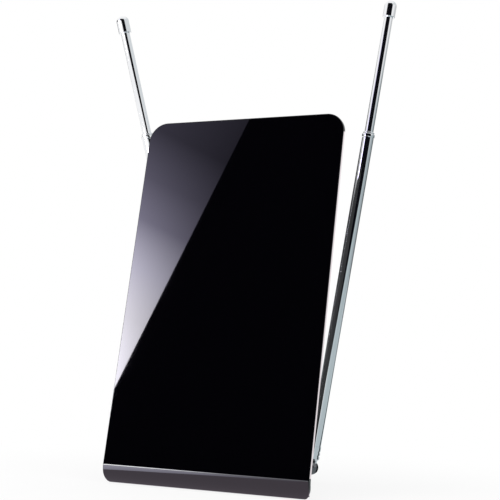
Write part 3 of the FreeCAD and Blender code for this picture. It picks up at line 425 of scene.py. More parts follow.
def arc(centre: tuple[float, float], radius: float, start: float, end: float, steps: int) -> Profile:
    """Points on an arc of a profile.

    Args:
        centre: the arc's centre, as distance from the axis and place along it.
        radius: the arc's radius.
        start: the first angle in degrees, from straight out towards up.
        end: the last angle in degrees.
        steps: the number of chords.

    Returns:
        The points from start to end.
    """
    angles = [math.radians(start + (end - start) * i / steps) for i in range(steps + 1)]
    return [(centre[0] + radius * math.cos(a), centre[1] + radius * math.sin(a)) for a in angles]


def turned_mesh(profile: Profile, closed: bool, segments: int = 96) -> tuple[list[Point], list[list[int]]]:
    """The points and faces of a profile turned about the Z axis.

    Args:
        profile: points as distance from the axis and place along it; the ends of an open one are on the axis.
        closed: whether the last point joins the first, as in a ring or tube.
        segments: steps round the axis.

    Returns:
        The points, and the points of each face.
    """
    vertices: list[Point] = []
    rings: list[list[int]] = []
    for radius, along in profile:
        count = segments if radius > 0 else 1
        rings.append(list(range(len(vertices), len(vertices) + count)))
        turns = [2 * math.pi * i / segments for i in range(count)]
        vertices += [(radius * math.cos(t), radius * math.sin(t), along) for t in turns]
    faces: list[list[int]] = []
    pairs = list(zip(rings, rings[1:])) + ([(rings[-1], rings[0])] if closed else [])
    for low, high in pairs:
        for i in range(segments):
            j = (i + 1) % segments
            corners = [low[i % len(low)], low[j % len(low)], high[j % len(high)], high[i % len(high)]]
            faces.append(list(dict.fromkeys(corners)))
    return vertices, faces


def mesh_piece(name: str, vertices: list, faces: list, sharp: float = 35.0) -> bpy.types.Object:
    """A mesh object with smooth faces and sharp edges past an angle.

    Args:
        name: the piece's name.
        vertices: its points in metres.
        faces: the points of each face.
        sharp: edges turning more than this many degrees stay sharp.

    Returns:
        The new object.
    """
    mesh = bpy.data.meshes.new(name)
    mesh.from_pydata(vertices, [], faces)
    mesh.validate()
    mesh.polygons.foreach_set("use_smooth", [True] * len(mesh.polygons))
    mesh.set_sharp_from_angle(angle=math.radians(sharp))
    piece = bpy.data.objects.new(name, mesh)
    bpy.context.scene.collection.objects.link(piece)
    return piece


def seat(piece: bpy.types.Object, body: str, finish: Finish, *nodes: str) -> None:
    """Puts a made piece in place of CAD nodes.

    Args:
        piece: the piece, already placed.
        body: the body that it moves with.
        finish: its finish.
        nodes: the CAD nodes that it stands for.
    """
    finish.dress(piece)
    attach(piece, body)
    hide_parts(*nodes)
    LOG.info("%s rides on %s for %s", piece.name, body, ", ".join(nodes))


def dress_nodes(finishes: dict[str, Finish]) -> None:
    """Gives CAD nodes their finishes."""
    for node, finish in finishes.items():
        finish.dress(frame["nodes"][node])
        LOG.info("%s dressed as %s", node, finish.slot)


@dataclass
class TelescopicRod:
    """One rod: three drawn tubes and a domed tip, on a swivelling knuckle."""

    side: Side
    bead_height: float = 0.00035
    bead_length: float = 0.0024
    bead_flank: float = 60.0
    middle_bead_share: float = 0.85
    wall: float = 0.00045
    mouth_round: float = 0.00018
    groove_depth: float = 0.00012
    groove_length: float = 0.0005
    groove_flank: float = 0.3
    tip_ease: float = 0.0002
    dome_share: float = 0.85
    flank_steps: int = 6
    mouth_steps: int = 10
    bore_steps: int = 5
    dome_steps: int = 16

    def name(self, piece: str) -> str:
        """The piece's name on this side."""
        return f"{self.side.value}_{piece}"

    def axis_frame(self) -> Matrix:
        """The rod's own axes: Z along the rod from its pivot.

        Returns:
            The matrix that places what is turned about Z.
        """
        joints = {joint["name"]: joint for joint in frame["joints"]}
        pivot = Vector(joints[self.name("spread")]["pos_m"])
        along = Vector(joints[self.name("middle_slide")]["axis"]).normalized()
        across = along.orthogonal().normalized()
        turn = Matrix((across, along.cross(across), along)).transposed().to_4x4()
        return Matrix.Translation(pivot) @ turn

    def tube_profile(self, low: float, high: float, radius: float, bead_low: float) -> Profile:
        """A tube's section: plain wall, fine groove, rolled bead and rounded mouth.

        Args:
            low: the foot of the tube.
            high: its mouth.
            radius: its outside radius.
            bead_low: where the bead starts.

        Returns:
            The closed section.
        """
        rise, mouth = self.bead_height, self.mouth_round
        bore = radius - self.wall
        groove = bead_low - self.groove_length
        flank = self.groove_length * self.groove_flank
        return [(bore, low), (radius - mouth, low), (radius, low + mouth), (radius, groove),
                (radius - self.groove_depth, groove + flank),
                (radius - self.groove_depth, bead_low - flank), (radius, bead_low),
                *arc((radius, bead_low + rise), rise, -self.bead_flank, 0.0, self.flank_steps),
                *arc((radius, high - rise), rise, 0.0, 90.0, self.mouth_steps),
                *arc((bore + mouth, high - mouth), mouth, 90.0, 180.0, self.bore_steps)]

    def plain_profile(self, low: float, high: float, radius: float) -> Profile:
        """A plain tube's section with eased ends.

        Args:
            low: the foot of the tube.
            high: its mouth.
            radius: its outside radius.

        Returns:
            The closed section.
        """
        ease = self.mouth_round
        return [(radius - self.wall, low), (radius - ease, low), (radius, low + ease), (radius, high - ease),
                (radius - ease, high), (radius - self.wall, high)]

    def tip_profile(self, tip: Span, tube: Span) -> Profile:
        """The tip's section: eased foot, straight body and dome.

        Two rings close to the straight body's ends keep its shading straight.

        Args:
            tip: how the tip lies along the rod.
            tube: how the tube inside it does.

        Returns:
            The open section, from the axis inside to the axis outside.
        """
        ease, radius = self.tip_ease, tip.reach
        dome = radius * self.dome_share
        body_low, body_high = tip.low + ease, tip.high - dome
        section = [(0.0, tube.high), (tube.reach, tube.high), (tube.reach, tip.low), (radius - ease, tip.low)]
        section += arc((radius - ease, body_low), ease, -90.0, 0.0, self.flank_steps)[1:]
        section += [(radius, body_low + ease / 2), (radius, body_high - ease / 2)]
        for i in range(self.dome_steps):
            turn = math.pi / 2 * i / self.dome_steps
            section.append((radius * math.cos(turn), body_high + dome * math.sin(turn)))
        return section + [(0.0, tip.high)]

    def build(self) -> None:
        """Makes the tubes and the tip and dresses the rest."""
        axes = self.axis_frame()
        origin = axes.to_translation()
        along = axes.to_3x3() @ Vector((0.0, 0.0, 1.0))
        outer, middle, inner, tip = (span_along(self.name(part), origin, along)
                                     for part in ("outer_tube", "middle_tube", "inner_tube", "rod_tip"))
        lip = min(self.bead_length, middle.high - outer.high) * self.middle_bead_share
        pieces = {
            "outer_tube": ("drawn", "rod", self.tube_profile(
                outer.low, outer.high, outer.reach - self.bead_height, outer.high - self.bead_length)),
            "middle_tube": ("drawn", "middle", self.tube_profile(
                middle.low, middle.high, middle.reach - self.bead_height, middle.high - lip)),
            "inner_tube": ("drawn", "inner", self.plain_profile(*inner)),
            "rod_tip": ("turned", "inner", self.tip_profile(tip, inner)),
        }
        for part, (way, body, section) in pieces.items():
            mesh = turned_mesh(section, closed=part != "rod_tip")
            piece = mesh_piece(self.name(f"{part}_{way}"), *mesh)
            piece.matrix_world = axes
            seat(piece, self.name(body), ROD_CHROME, self.name(part))
        self.dress()

    def dress(self) -> None:
        """Dresses the pieces that stay as they are."""
        finishes = {"knuckle": KNUCKLE_METAL, "hinge_pin": SCREW_STEEL, "stud_nut": SCREW_STEEL,
                    "rod_contact": CONTACT_BRASS, "stud_washer": SCREW_STEEL, "rod_base": ROD_CHROME}
        dress_nodes({self.name(part): finish for part, finish in finishes.items()})


class OutlinePoint(NamedTuple):
    """A point of the cover's outline spread flat, with the outward direction there."""

    x: float
    along: float
    across: float
    down: float


@dataclass
class Panel:
    """The leaning panel: gloss front cover with a rolled chin, satin back, and the loop between them."""

    edge_round: float = 0.0006
    wall: float = 0.002
    rim_depth: float = 0.0031
    rim_chamfer: float = 0.0004
    fold_round: float = 0.004
    roll_height: float = 0.0098
    roll_radius: float = 0.0147
    top_corner: float = 0.0125
    foot_corner: float = 0.0041
    foot_rise: float = 0.0086
    inner_foot_corner: float = 0.0075
    chin_drop: float = 0.0008
    chin_proud: float = 0.00011
    foot_zone: float = 0.01
    corner_steps: int = 16
    fold_steps: int = 8
    foot_steps: int = 6
    edge_steps: int = 4
    lean: float = field(init=False)
    front: float = field(init=False)
    floor: float = field(init=False)
    half: float = field(init=False)
    head: Vector = field(init=False)
    face_end: float = field(init=False)
    fold_end: float = field(init=False)
    chin_end: float = field(init=False)
    length: float = field(init=False)

    def __post_init__(self) -> None:
        """Takes the cover's lean, height and width from the CAD node."""
        face = front_face(CoverFront.FACE)
        places = [vertex.co for vertex in frame["nodes"]["front_cover"].data.vertices]
        self.lean = math.asin(face.normal.z)
        self.front = min(place.y for place in places) - self.chin_proud
        self.floor = min(place.z for place in places) - self.chin_drop
        self.half = max(place.x for place in places)
        up = leaning(self.lean)[1]
        offset = (Vector((0.0, self.front, 0.0)) - face.center).dot(face.normal)
        fold_height = -offset / face.normal.z
        fold = Vector((0.0, self.front, fold_height))
        self.head = fold + up * max((place - fold).dot(up) for place in places)
        tangent = self.fold_round * math.tan(self.lean / 2)
        self.face_end = (self.head - fold).length - tangent
        self.fold_end = self.face_end + self.fold_round * self.lean
        self.chin_end = self.fold_end + fold_height - tangent - self.floor - self.roll_height
        self.length = self.chin_end + self.roll_radius * math.asin(self.roll_height / self.roll_radius)

    def front_line(self, along: float) -> tuple[Vector, Vector, Vector]:
        """The cover's front line, from the top down over the fold to the end of the roll.

        Args:
            along: the distance from the top.

        Returns:
            The place, the outward normal and the direction further down.
        """
        face_normal, face_up = leaning(self.lean)
        roll_top = self.floor + self.roll_height
        if along < self.face_end:
            tilt = self.lean
            place = self.head - face_up * along
        elif along < self.fold_end:
            tilt = self.lean - (along - self.face_end) / self.fold_round
            start = self.head - face_up * self.face_end
            place = start + (leaning(tilt)[0] - face_normal) * self.fold_round
        elif along < self.chin_end:
            tilt = 0.0
            place = Vector((0.0, self.front, roll_top + self.chin_end - along))
        else:
            tilt = -(along - self.chin_end) / self.roll_radius
            place = Vector((0.0, self.front + self.roll_radius * (1 - math.cos(tilt)),
                            roll_top + self.roll_radius * math.sin(tilt)))
        normal, up = leaning(tilt)
        return place, normal, -up

    def outline(self, inset: float, foot_corner: float, foot_rise: float) -> list[OutlinePoint]:
        """The cover's outline spread flat, the right side from the top down and then the left side up.

        Args:
            inset: how far it lies inside the cover's own outline.
            foot_corner: the width of its lower corners.
            foot_rise: their height.

        Returns:
            Its points.
        """
        half = self.half - inset
        top = self.top_corner - inset
        zone = self.length - self.foot_zone
        corner = self.length - inset - foot_rise
        turns = [math.pi / 2 * i / self.corner_steps for i in range(self.corner_steps + 1)]
        side = [OutlinePoint(half - top + top * math.sin(t), inset + top - top * math.cos(t),
                             math.sin(t), -math.cos(t)) for t in turns]
        rows = [self.face_end + (self.fold_end - self.face_end) * i / self.fold_steps
                for i in range(self.fold_steps + 1)]
        rows += [zone + (corner - zone) * i / self.foot_steps for i in range(self.foot_steps)]
        side += [OutlinePoint(half, along, 1.0, 0.0) for along in rows]
        for t in turns:
            outward = Vector((foot_rise * math.cos(t), foot_corner * math.sin(t))).normalized()
            side.append(OutlinePoint(half - foot_corner + foot_corner * math.cos(t),
                                     corner + foot_rise * math.sin(t), *outward))
        return side + [OutlinePoint(-at.x, at.along, -at.across, at.down) for at in reversed(side)]

    def ring(self, inset: float, depth: float, foot_corner: float, foot_rise: float) -> list[Vector]:
        """A loop of points at a depth behind the cover's front.

        Args:
            inset: how far it lies inside the cover's own outline.
            depth: how far it lies behind the front.
            foot_corner: the width of its lower corners.
            foot_rise: their height.

        Returns:
            The points.
        """
        points = []
        for at in self.outline(inset, foot_corner, foot_rise):
            place, normal, _ = self.front_line(at.along)
            points.append(place + Vector((at.x, 0.0, 0.0)) - normal * depth)
        return points

    def rounded_edge(self) -> tuple[list[list[Vector]], list[list[Vector]]]:
        """The loops from the front's border over its rounded edge.

        Returns:
            The points of each loop, and the normals there.
        """
        size = self.edge_round
        outline = self.outline(size, self.foot_corner - size, self.foot_rise - size)
        rings: list[list[Vector]] = []
        normals: list[list[Vector]] = []
        for step in range(self.edge_steps + 1):
            turn = math.pi / 2 * step / self.edge_steps
            ring, facing = [], []
            for at in outline:
                place, normal, ahead = self.front_line(at.along)
                outward = Vector((at.across, 0.0, 0.0)) + ahead * at.down
                bend = outward * math.sin(turn) - normal * (1 - math.cos(turn))
                ring.append(place + Vector((at.x, 0.0, 0.0)) + bend * size)
                facing.append(normal * math.cos(turn) + outward * math.sin(turn))
            rings.append(ring)
            normals.append(facing)
        return rings, normals

    def front_cover(self) -> bpy.types.Object:
        """The moulded cover: skin, rounded edge, rim and the inside.

        Returns:
            The new object.
        """
        rings, normals = self.rounded_edge()
        rings.append(self.ring(0.0, self.rim_depth - self.rim_chamfer, self.foot_corner, self.foot_rise))
        normals.append(normals[-1])
        smooth = len(rings)
        rings.append(self.ring(self.rim_chamfer, self.rim_depth, self.foot_corner - self.rim_chamfer,
                               self.foot_rise - self.rim_chamfer))
        for depth in (self.rim_depth, self.wall):
            rings.append(self.ring(self.wall, depth, self.inner_foot_corner, self.inner_foot_corner))
        count = len(rings[0])
        faces = []
        for level in range(len(rings) - 1):
            near, far = level * count, (level + 1) * count
            for i in range(count):
                j = (i + 1) % count
                faces.append([near + i, near + j, far + j, far + i])
        last = (len(rings) - 1) * count
        for i in range(count // 2 - 1):
            left, below = count - 1 - i, count - 2 - i
            faces.append([left, below, i + 1, i])
            faces.append([last + i, last + i + 1, last + below, last + left])
        cover = mesh_piece("front_cover_moulded", [point for ring in rings for point in ring], faces)
        exact = [normal for ring in normals for normal in ring]
        shown = []
        for polygon in cover.data.polygons:
            rounded = all(vertex < smooth * count for vertex in polygon.vertices)
            shown += [exact[vertex] if rounded else polygon.normal.copy() for vertex in polygon.vertices]
        cover.data.normals_split_custom_set(shown)
        return cover

    def build(self) -> bpy.types.Object:
        """Makes the front cover and dresses the panel's other pieces.

        Returns:
            The front cover.
        """
        cover = self.front_cover()
        seat(cover, "stand", GLOSS_BLACK, "front_cover")
        self.dress()
        return cover

    def dress(self) -> None:
        """Dresses the panel's other pieces."""
        dress_nodes({"rear_cover": SATIN_BLACK, "uhf_element": ELEMENT_SHEET, "feed_lead": LEAD_JACKET,
                     "panel_screws": SCREW_STEEL})


@dataclass
class AerialSocket:
    """The screw-on socket at the foot's back: a turned barrel with a cut thread, insulator and nut."""

    pitch: float = 0.00079
    depth: float = 0.00045
    root_sink: float = 1.1
    crest_share: float = 0.14
    root_share: float = 0.94
    run_out: float = 0.75
    mouth_ease: float = 0.0004
    tail_radius: float = 0.0006
    bore_fit: float = 0.00002
    steps: int = 72

    def thread(self, low: float, high: float, radius: float) -> tuple[list[Point], list[list[int]]]:
        """A helical ridge that runs out into the barrel at both ends.

        Args:
            low: where it starts along the axis.
            high: where it ends.
            radius: the radius of its crest.

        Returns:
            Its points and its faces.
        """
        count = int(((high - low) / self.pitch - 1) * self.steps)
        root = radius - self.depth * self.root_sink
        points: list[Point] = []
        for i in range(count + 1):
            turn = i / self.steps
            rise = min(1.0, turn / self.run_out, (count / self.steps - turn) / self.run_out)
            crest = root + (radius - root) * rise
            middle = low + self.pitch * (0.5 + turn)
            corners = ((root, -self.root_share), (crest, -self.crest_share), (crest, self.crest_share),
                       (root, self.root_share))
            for reach, share in corners:
                points.append((reach * math.cos(turn * math.tau), reach * math.sin(turn * math.tau),
                               middle + share * self.pitch / 2))
        last = 4 * count
        faces = [[0, 3, 2, 1], [last, last + 1, last + 2, last + 3]]
        for start in range(0, last, 4):
            for corner in range(4):
                other = (corner + 1) % 4
                faces.append([start + corner, start + other, start + 4 + other, start + 4 + corner])
        return points, faces

    def build(self) -> None:
        """Makes the threaded barrel and dresses the rest."""
        corner, opposite = (Vector(place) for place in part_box("f_jack"))
        axis = Vector((0.0, 1.0, 0.0))
        origin = Vector(((corner.x + opposite.x) / 2, 0.0, (corner.z + opposite.z) / 2))
        jack = span_along("f_jack", origin, axis)
        nut = span_along("f_jack_nut", origin, axis).high
        insulator = span_along("jack_insulator", origin, axis)
        places = frame["nodes"]["f_jack"].data.vertices
        shoulder, seat_face = sorted({round((at.co - origin).dot(axis), 6) for at in places})[1:3]
        barrel = next(mount["dims"]["r_mm"] for mount in frame["record"]["mounts"]
                      if mount["name"] == "aerial_socket") / 1000
        core = barrel - self.depth
        bore = insulator.reach + self.bore_fit
        ease, tail, mouth = self.mouth_ease, self.tail_radius, jack.high
        section = [(0.0, jack.low), (tail, jack.low), (tail, shoulder), (jack.reach, shoulder),
                   (jack.reach, seat_face), (barrel, seat_face), (barrel, nut), (core, nut + ease / 2),
                   (core, mouth - ease), (core - ease / 2, mouth), (bore + ease / 4, mouth),
                   (bore, mouth - ease / 4), (bore, insulator.low), (0.0, insulator.low)]
        points, faces = turned_mesh(section, closed=False)
        ridge_points, ridge_faces = self.thread(nut + ease / 2, mouth - ease, barrel)
        faces += [[len(points) + at for at in face] for face in ridge_faces]
        piece = mesh_piece("f_jack_threaded", points + ridge_points, faces)
        piece.matrix_world = Matrix.Translation(origin) @ Matrix.Rotation(math.radians(-90.0), 4, "X")
        seat(piece, "stand", NICKEL_PLATE, "f_jack")
        self.dress()

    def dress(self) -> None:
        """Dresses the insulator and the nut."""
        dress_nodes({"jack_insulator": INSULATOR_WHITE, "f_jack_nut": NICKEL_PLATE})


@dataclass
class Foot:
    """The weighted foot with its board."""

    def dress(self) -> None:
        """Dresses the foot's pieces."""
        dress_nodes({"base_top": SATIN_BLACK, "base_bottom": SATIN_BLACK, "ballast_plate": BALLAST_STEEL,
                     "circuit_board": BOARD_LAMINATE, "balun_core": FERRITE, "rubber_pad": FOOT_RUBBER,
                     "base_screws": SCREW_STEEL, "board_screws": SCREW_STEEL})


@dataclass
class StudioCamera:
    """The camera at the photograph's angle, and what it sees in flat mirrors."""

    place: Point = (0.32329, -0.68752, 0.08541)
    yaw: float = 25.176
    pitch: float = 4.984
    roll: float = 1.898
    lens: float = 83.29
    sensor: float = 36.0

    def axes(self) -> Matrix:
        """The camera's right, up and back directions as columns.

        Returns:
            The turning matrix.
        """
        yaw, pitch, roll = (math.radians(angle) for angle in (self.yaw, self.pitch, self.roll))
        ahead = Vector((-math.sin(yaw) * math.cos(pitch), math.cos(yaw) * math.cos(pitch), math.sin(pitch)))
        right = Vector((math.cos(yaw), math.sin(yaw), 0.0))
        up = right.cross(ahead)
        rolled_right = math.cos(roll) * right + math.sin(roll) * up
        rolled_up = math.cos(roll) * up - math.sin(roll) * right
        return Matrix((rolled_right, rolled_up, -ahead)).transposed()

    def build(self) -> None:
        """Places the camera."""
        data = bpy.data.cameras.new("camera")
        data.lens = self.lens
        data.sensor_width = self.sensor
        camera = bpy.data.objects.new("camera", data)
        camera.matrix_world = Matrix.Translation(self.place) @ self.axes().to_4x4()
        bpy.context.scene.collection.objects.link(camera)
        bpy.context.scene.camera = camera

    def ray(self, pixel: Vector) -> Vector:
        """The direction from the camera through a pixel of the square photograph."""
        scale = self.lens / self.sensor * PHOTO_SIDE
        offset = Vector((pixel.x - PHOTO_SIDE / 2, PHOTO_SIDE / 2 - pixel.y, -scale))
        return (self.axes() @ offset).normalized()

    def mirrored(self, pixel: Vector, point: Vector, normal: Vector) -> tuple[Vector, Vector]:
        """Where the camera sees a mirror, and which way it then looks.

        Args:
            pixel: a pixel of the photograph.
            point: a point of the mirror's plane.
            normal: the mirror's normal.

        Returns:
            The point on the mirror and the mirrored direction.
        """
        eye = Vector(self.place)
        ray = self.ray(pixel)
        place = eye + ray * ((point - eye).dot(normal) / ray.dot(normal))
        return place, ray - 2 * ray.dot(normal) * normal


@dataclass
class Floor:
    """A plain white floor that keeps the aerial's shadow, and that mirrors see in other tones."""

    side: float = 8.0
    drop: float = 0.0001
    paint: Colour = (0.9, 0.9, 0.9)
    shadow_share: float = 0.15
    shadow_band: Band = (0.05, 0.3)
    right_tone: Colour = (0.46, 0.53, 0.55)
    right_band: Band = (-0.02, 0.06)
    front_tone: Colour = (1.22, 1.03, 1.26)
    front_band: Band = (-0.06, -0.02)
    front_reach: Band = (0.2, 0.34)
    front_side: Band = (0.07, 0.1)

    def material(self) -> bpy.types.Material:
        """White to the camera and to mirrors, and plain paint in the shadow and to all other light.

        Returns:
            The material.
        """
        material, build = new_material("white_floor")
        place = build.add("ShaderNodeTexCoord").outputs["Object"]
        distance = build.add("ShaderNodeVectorMath", {0: place}, operation="LENGTH").outputs["Value"]
        axes = build.add("ShaderNodeSeparateXYZ", {0: place}).outputs
        path = build.add("ShaderNodeLightPath").outputs
        seen = build.math("MAXIMUM", path["Is Camera Ray"], path["Is Glossy Ray"])
        seen = build.math("MAXIMUM", seen, path["Is Transmission Ray"])
        clear = build.math("MULTIPLY", build.step(distance, self.shadow_band), self.shadow_share)
        share = build.math("MULTIPLY", seen, build.math("ADD", clear, 1.0 - self.shadow_share))
        sides = build.mix(build.step(axes["X"], self.right_band), WHITE, self.right_tone)
        ahead = build.math("MULTIPLY", build.fall(axes["Y"], self.front_band),
                           build.fall(distance, self.front_reach))
        ahead = build.math("MULTIPLY", ahead, build.fall(axes["X"], self.front_side))
        mirrored = build.mix(ahead, sides, self.front_tone)
        tone = build.mix(path["Is Camera Ray"], mirrored, WHITE)
        white = build.add("ShaderNodeEmission", {"Color": tone, "Strength": 1.0})
        plain = build.add("ShaderNodeBsdfDiffuse", {"Color": self.paint})
        both = build.add("ShaderNodeMixShader", {0: share, 1: plain.outputs[0], 2: white.outputs[0]})
        build.add("ShaderNodeOutputMaterial", {"Surface": both.outputs[0]})
        return material

    def build(self) -> None:
        """Lays the floor just under the rubber pad."""
        half, level = self.side / 2, -self.drop
        corners = [(-half, -half, level), (half, -half, level), (half, half, level), (-half, half, level)]
        floor = mesh_piece("floor", corners, [[0, 1, 2, 3]])
        floor.data.materials.append(self.material())


@dataclass
class MirrorCard:
    """A glowing card that only mirrors see.

    Its points are rows, each from the near to the far edge. Its colours run from the first row to the
    last, and its glow is what they are multiplied by at the near and the far edge.
    """

    name: str
    rows: list[list[Vector]]
    stops: Stops
    glow: Band

    def material(self) -> bpy.types.Material:
        """The card's light.

        Returns:
            The material.
        """
        material, build = new_material(self.name)
        place = build.add("ShaderNodeTexCoord").outputs["UV"]
        axes = build.add("ShaderNodeSeparateXYZ", {0: place}).outputs
        light = build.add("ShaderNodeEmission", {"Color": build.ramp(axes["Y"], self.stops),
                                                 "Strength": build.carry(axes["X"], (0.0, 1.0), self.glow)})
        build.add("ShaderNodeOutputMaterial", {"Surface": light.outputs[0]})
        return material

    def build(self) -> bpy.types.Object:
        """Makes the card.

        Returns:
            The new object.
        """
        width, height = len(self.rows[0]), len(self.rows)
        faces = [[r * width + c, r * width + c + 1, (r + 1) * width + c + 1, (r + 1) * width + c]
                 for r in range(height - 1) for c in range(width - 1)]
        card = mesh_piece(self.name, [point for row in self.rows for point in row], faces)
        layer = card.data.uv_layers.new(name="card")
        for loop in card.data.loops:
            row, column = divmod(loop.vertex_index, width)
            layer.data[loop.index].uv = (column / (width - 1), row / (height - 1))
        card.data.materials.append(self.material())
        card.visible_camera = False
        card.visible_diffuse = False
        card.visible_shadow = False
        return card


@dataclass
class CardSet:
    """The softbox that the face mirrors, and the strips that its fold, chin and right rim mirror.

    Each card lies where the mirrors show it at the photograph's place, given in pixels.
    """

    camera: StudioCamera
    distance: float = 0.9
    floor_gap: float = 0.0005
    dusk: Colour = (0.84, 0.78, 1.13)
    lilac: Colour = (0.84, 0.81, 1.0)
    pale: Colour = (0.8, 0.775, 0.86)
    lilac_level: float = 0.25
    softbox_edge: tuple[Pixel, Pixel] = ((249.0, 120.0), (118.0, 381.0))
    softbox_width: float = 130.0
    softbox_glow: Band = (30.0, 96.0)
    softbox_levels: tuple[Band, ...] = ((0.0, 0.013), (0.2, 0.013), (0.33, 0.039), (0.44, 0.086),
                                        (0.567, 0.275), (0.7, 0.5), (1.0, 1.16))
    softbox_edge_rows: int = 12
    softbox_first_row: int = -1
    softbox_last_row: int = 14
    softbox_columns: int = 4
    fold_ends: tuple[Pixel, Pixel] = ((103.7, 463.0), (309.8, 481.5))
    fold_tilts: Band = (1.5, 9.0)
    fold_rows: tuple[float, ...] = (-0.1, 0.2, 0.4, 0.6, 0.8, 1.1)
    fold_stops: Stops = ((0.0, WHITE), (0.25, (0.75, 0.75, 0.8)), (0.6, (0.2, 0.2, 0.22)),
                         (1.0, (0.08, 0.08, 0.09)))
    fold_glow: float = 26.0
    glint_ends: tuple[Pixel, Pixel] = ((95.0, 463.0), (300.0, 481.6))
    glint_near: float = 0.2
    glint_tail: float = 0.9
    glint_levels: tuple[Band, ...] = ((0.0, 1.0), (0.5, 0.72), (0.75, 0.45), (1.0, 0.3))
    glint_glow: Band = (8.5, 5.1)
    glint_rows: int = 4
    strip_ends: tuple[Pixel, Pixel] = ((345.0, 124.0), (310.5, 479.0))
    strip_spread: float = 0.16
    strip_colour: Colour = (1.0, 0.92, 0.95)
    strip_glow: float = 5.0
    strip_rows: int = 12

    def softbox_tint(self, level: float) -> Colour:
        """The softbox's colour at a brightness: bluer where it is dim."""
        share = level / self.lilac_level
        dim = Vector(self.dusk).lerp(Vector(self.lilac), min(1.0, share))
        return tuple(dim.lerp(Vector(self.pale), min(1.0, max(0.0, share - 1.0))) * level)

    def softbox(self) -> None:
        """A large card whose edge crosses the face as the bright wedge's edge does."""
        face = front_face(CoverFront.FACE)
        top, bottom = (Vector(pixel) for pixel in self.softbox_edge)
        down = bottom - top
        left = Vector((-down.y, down.x)).normalized() * self.softbox_width
        centre, aim = self.camera.mirrored((top + bottom) / 2, face.center, face.normal)
        rows = []
        for i in range(self.softbox_first_row, self.softbox_last_row + 1):
            row = []
            for j in range(self.softbox_columns + 1):
                pixel = top + down * (i / self.softbox_edge_rows) + left * (j / self.softbox_columns)
                place, way = self.camera.mirrored(pixel, face.center, face.normal)
                row.append(place + way * ((centre + aim * self.distance - place).dot(aim) / way.dot(aim)))
            rows.append(row)
        stops = tuple((at, self.softbox_tint(level)) for at, level in self.softbox_levels)
        MirrorCard("softbox", rows, stops, self.softbox_glow).build()

    def fold_strip(self) -> None:
        """A strip that makes the fold's thin light line."""
        chin = front_face(CoverFront.CHIN)
        start, end = (Vector(pixel) for pixel in self.fold_ends)
        rows = []
        for share in self.fold_rows:
            row = []
            for tilt in self.fold_tilts:
                turned = leaning(math.radians(tilt))[0]
                place, way = self.camera.mirrored(start.lerp(end, share), chin.center, turned)
                row.append(place + way * self.distance)
            rows.append(row)
        MirrorCard("fold_strip", rows, self.fold_stops, (self.fold_glow, self.fold_glow)).build()

    def chin_strip(self) -> None:
        """A strip close over the floor that makes the chin's pale upper band, narrower to the right."""
        chin = front_face(CoverFront.CHIN)
        start, end = (Vector(pixel) for pixel in self.glint_ends)
        rows = []
        for i in range(self.glint_rows + 1):
            share = i / self.glint_rows
            foot, way = self.camera.mirrored(start.lerp(end, share), chin.center, chin.normal)
            far = foot + way * ((self.floor_gap - foot.z) / way.z)
            near = foot.lerp(far, self.glint_near + (self.glint_tail - self.glint_near) * share)
            rows.append([far, Vector((near.x, near.y, far.z))])
        stops = tuple((at, tuple(Vector(self.lilac) * level)) for at, level in self.glint_levels)
        MirrorCard("chin_strip", rows, stops, self.glint_glow).build()

    def rim_strip(self, moulded: bpy.types.Object) -> None:
        """A strip that makes the right rim pale, and that nothing but the cover mirrors.

        Args:
            moulded: the front cover.
        """
        side = max(vertex.co.x for vertex in frame["nodes"]["front_cover"].data.vertices)
        start, end = (Vector(pixel) for pixel in self.strip_ends)
        rows = []
        for i in range(self.strip_rows + 1):
            place, way = self.camera.mirrored(start.lerp(end, i / self.strip_rows), Vector((side, 0.0, 0.0)),
                                              Vector((1.0, 0.0, 0.0)))
            to_floor = (self.floor_gap - place.z) / way.z if way.z < 0 else self.distance
            reach = min(self.distance, to_floor)
            aside = Vector((-way.y, way.x, 0.0)).normalized() * self.strip_spread * reach
            rows.append([place + way * reach - aside, place + way * reach + aside])
        stops = ((0.0, self.strip_colour), (1.0, self.strip_colour))
        strip = MirrorCard("rim_strip", rows, stops, (self.strip_glow, self.strip_glow)).build()
        mirrors = bpy.data.collections.new("rim_strip_mirrors")
        mirrors.objects.link(moulded)
        strip.light_linking.receiver_collection = mirrors

    def build(self, moulded: bpy.types.Object) -> None:
        """Makes all the cards.

        Args:
            moulded: the front cover.
        """
        self.softbox()
        self.fold_strip()
        self.chin_strip()
        self.rim_strip(moulded)


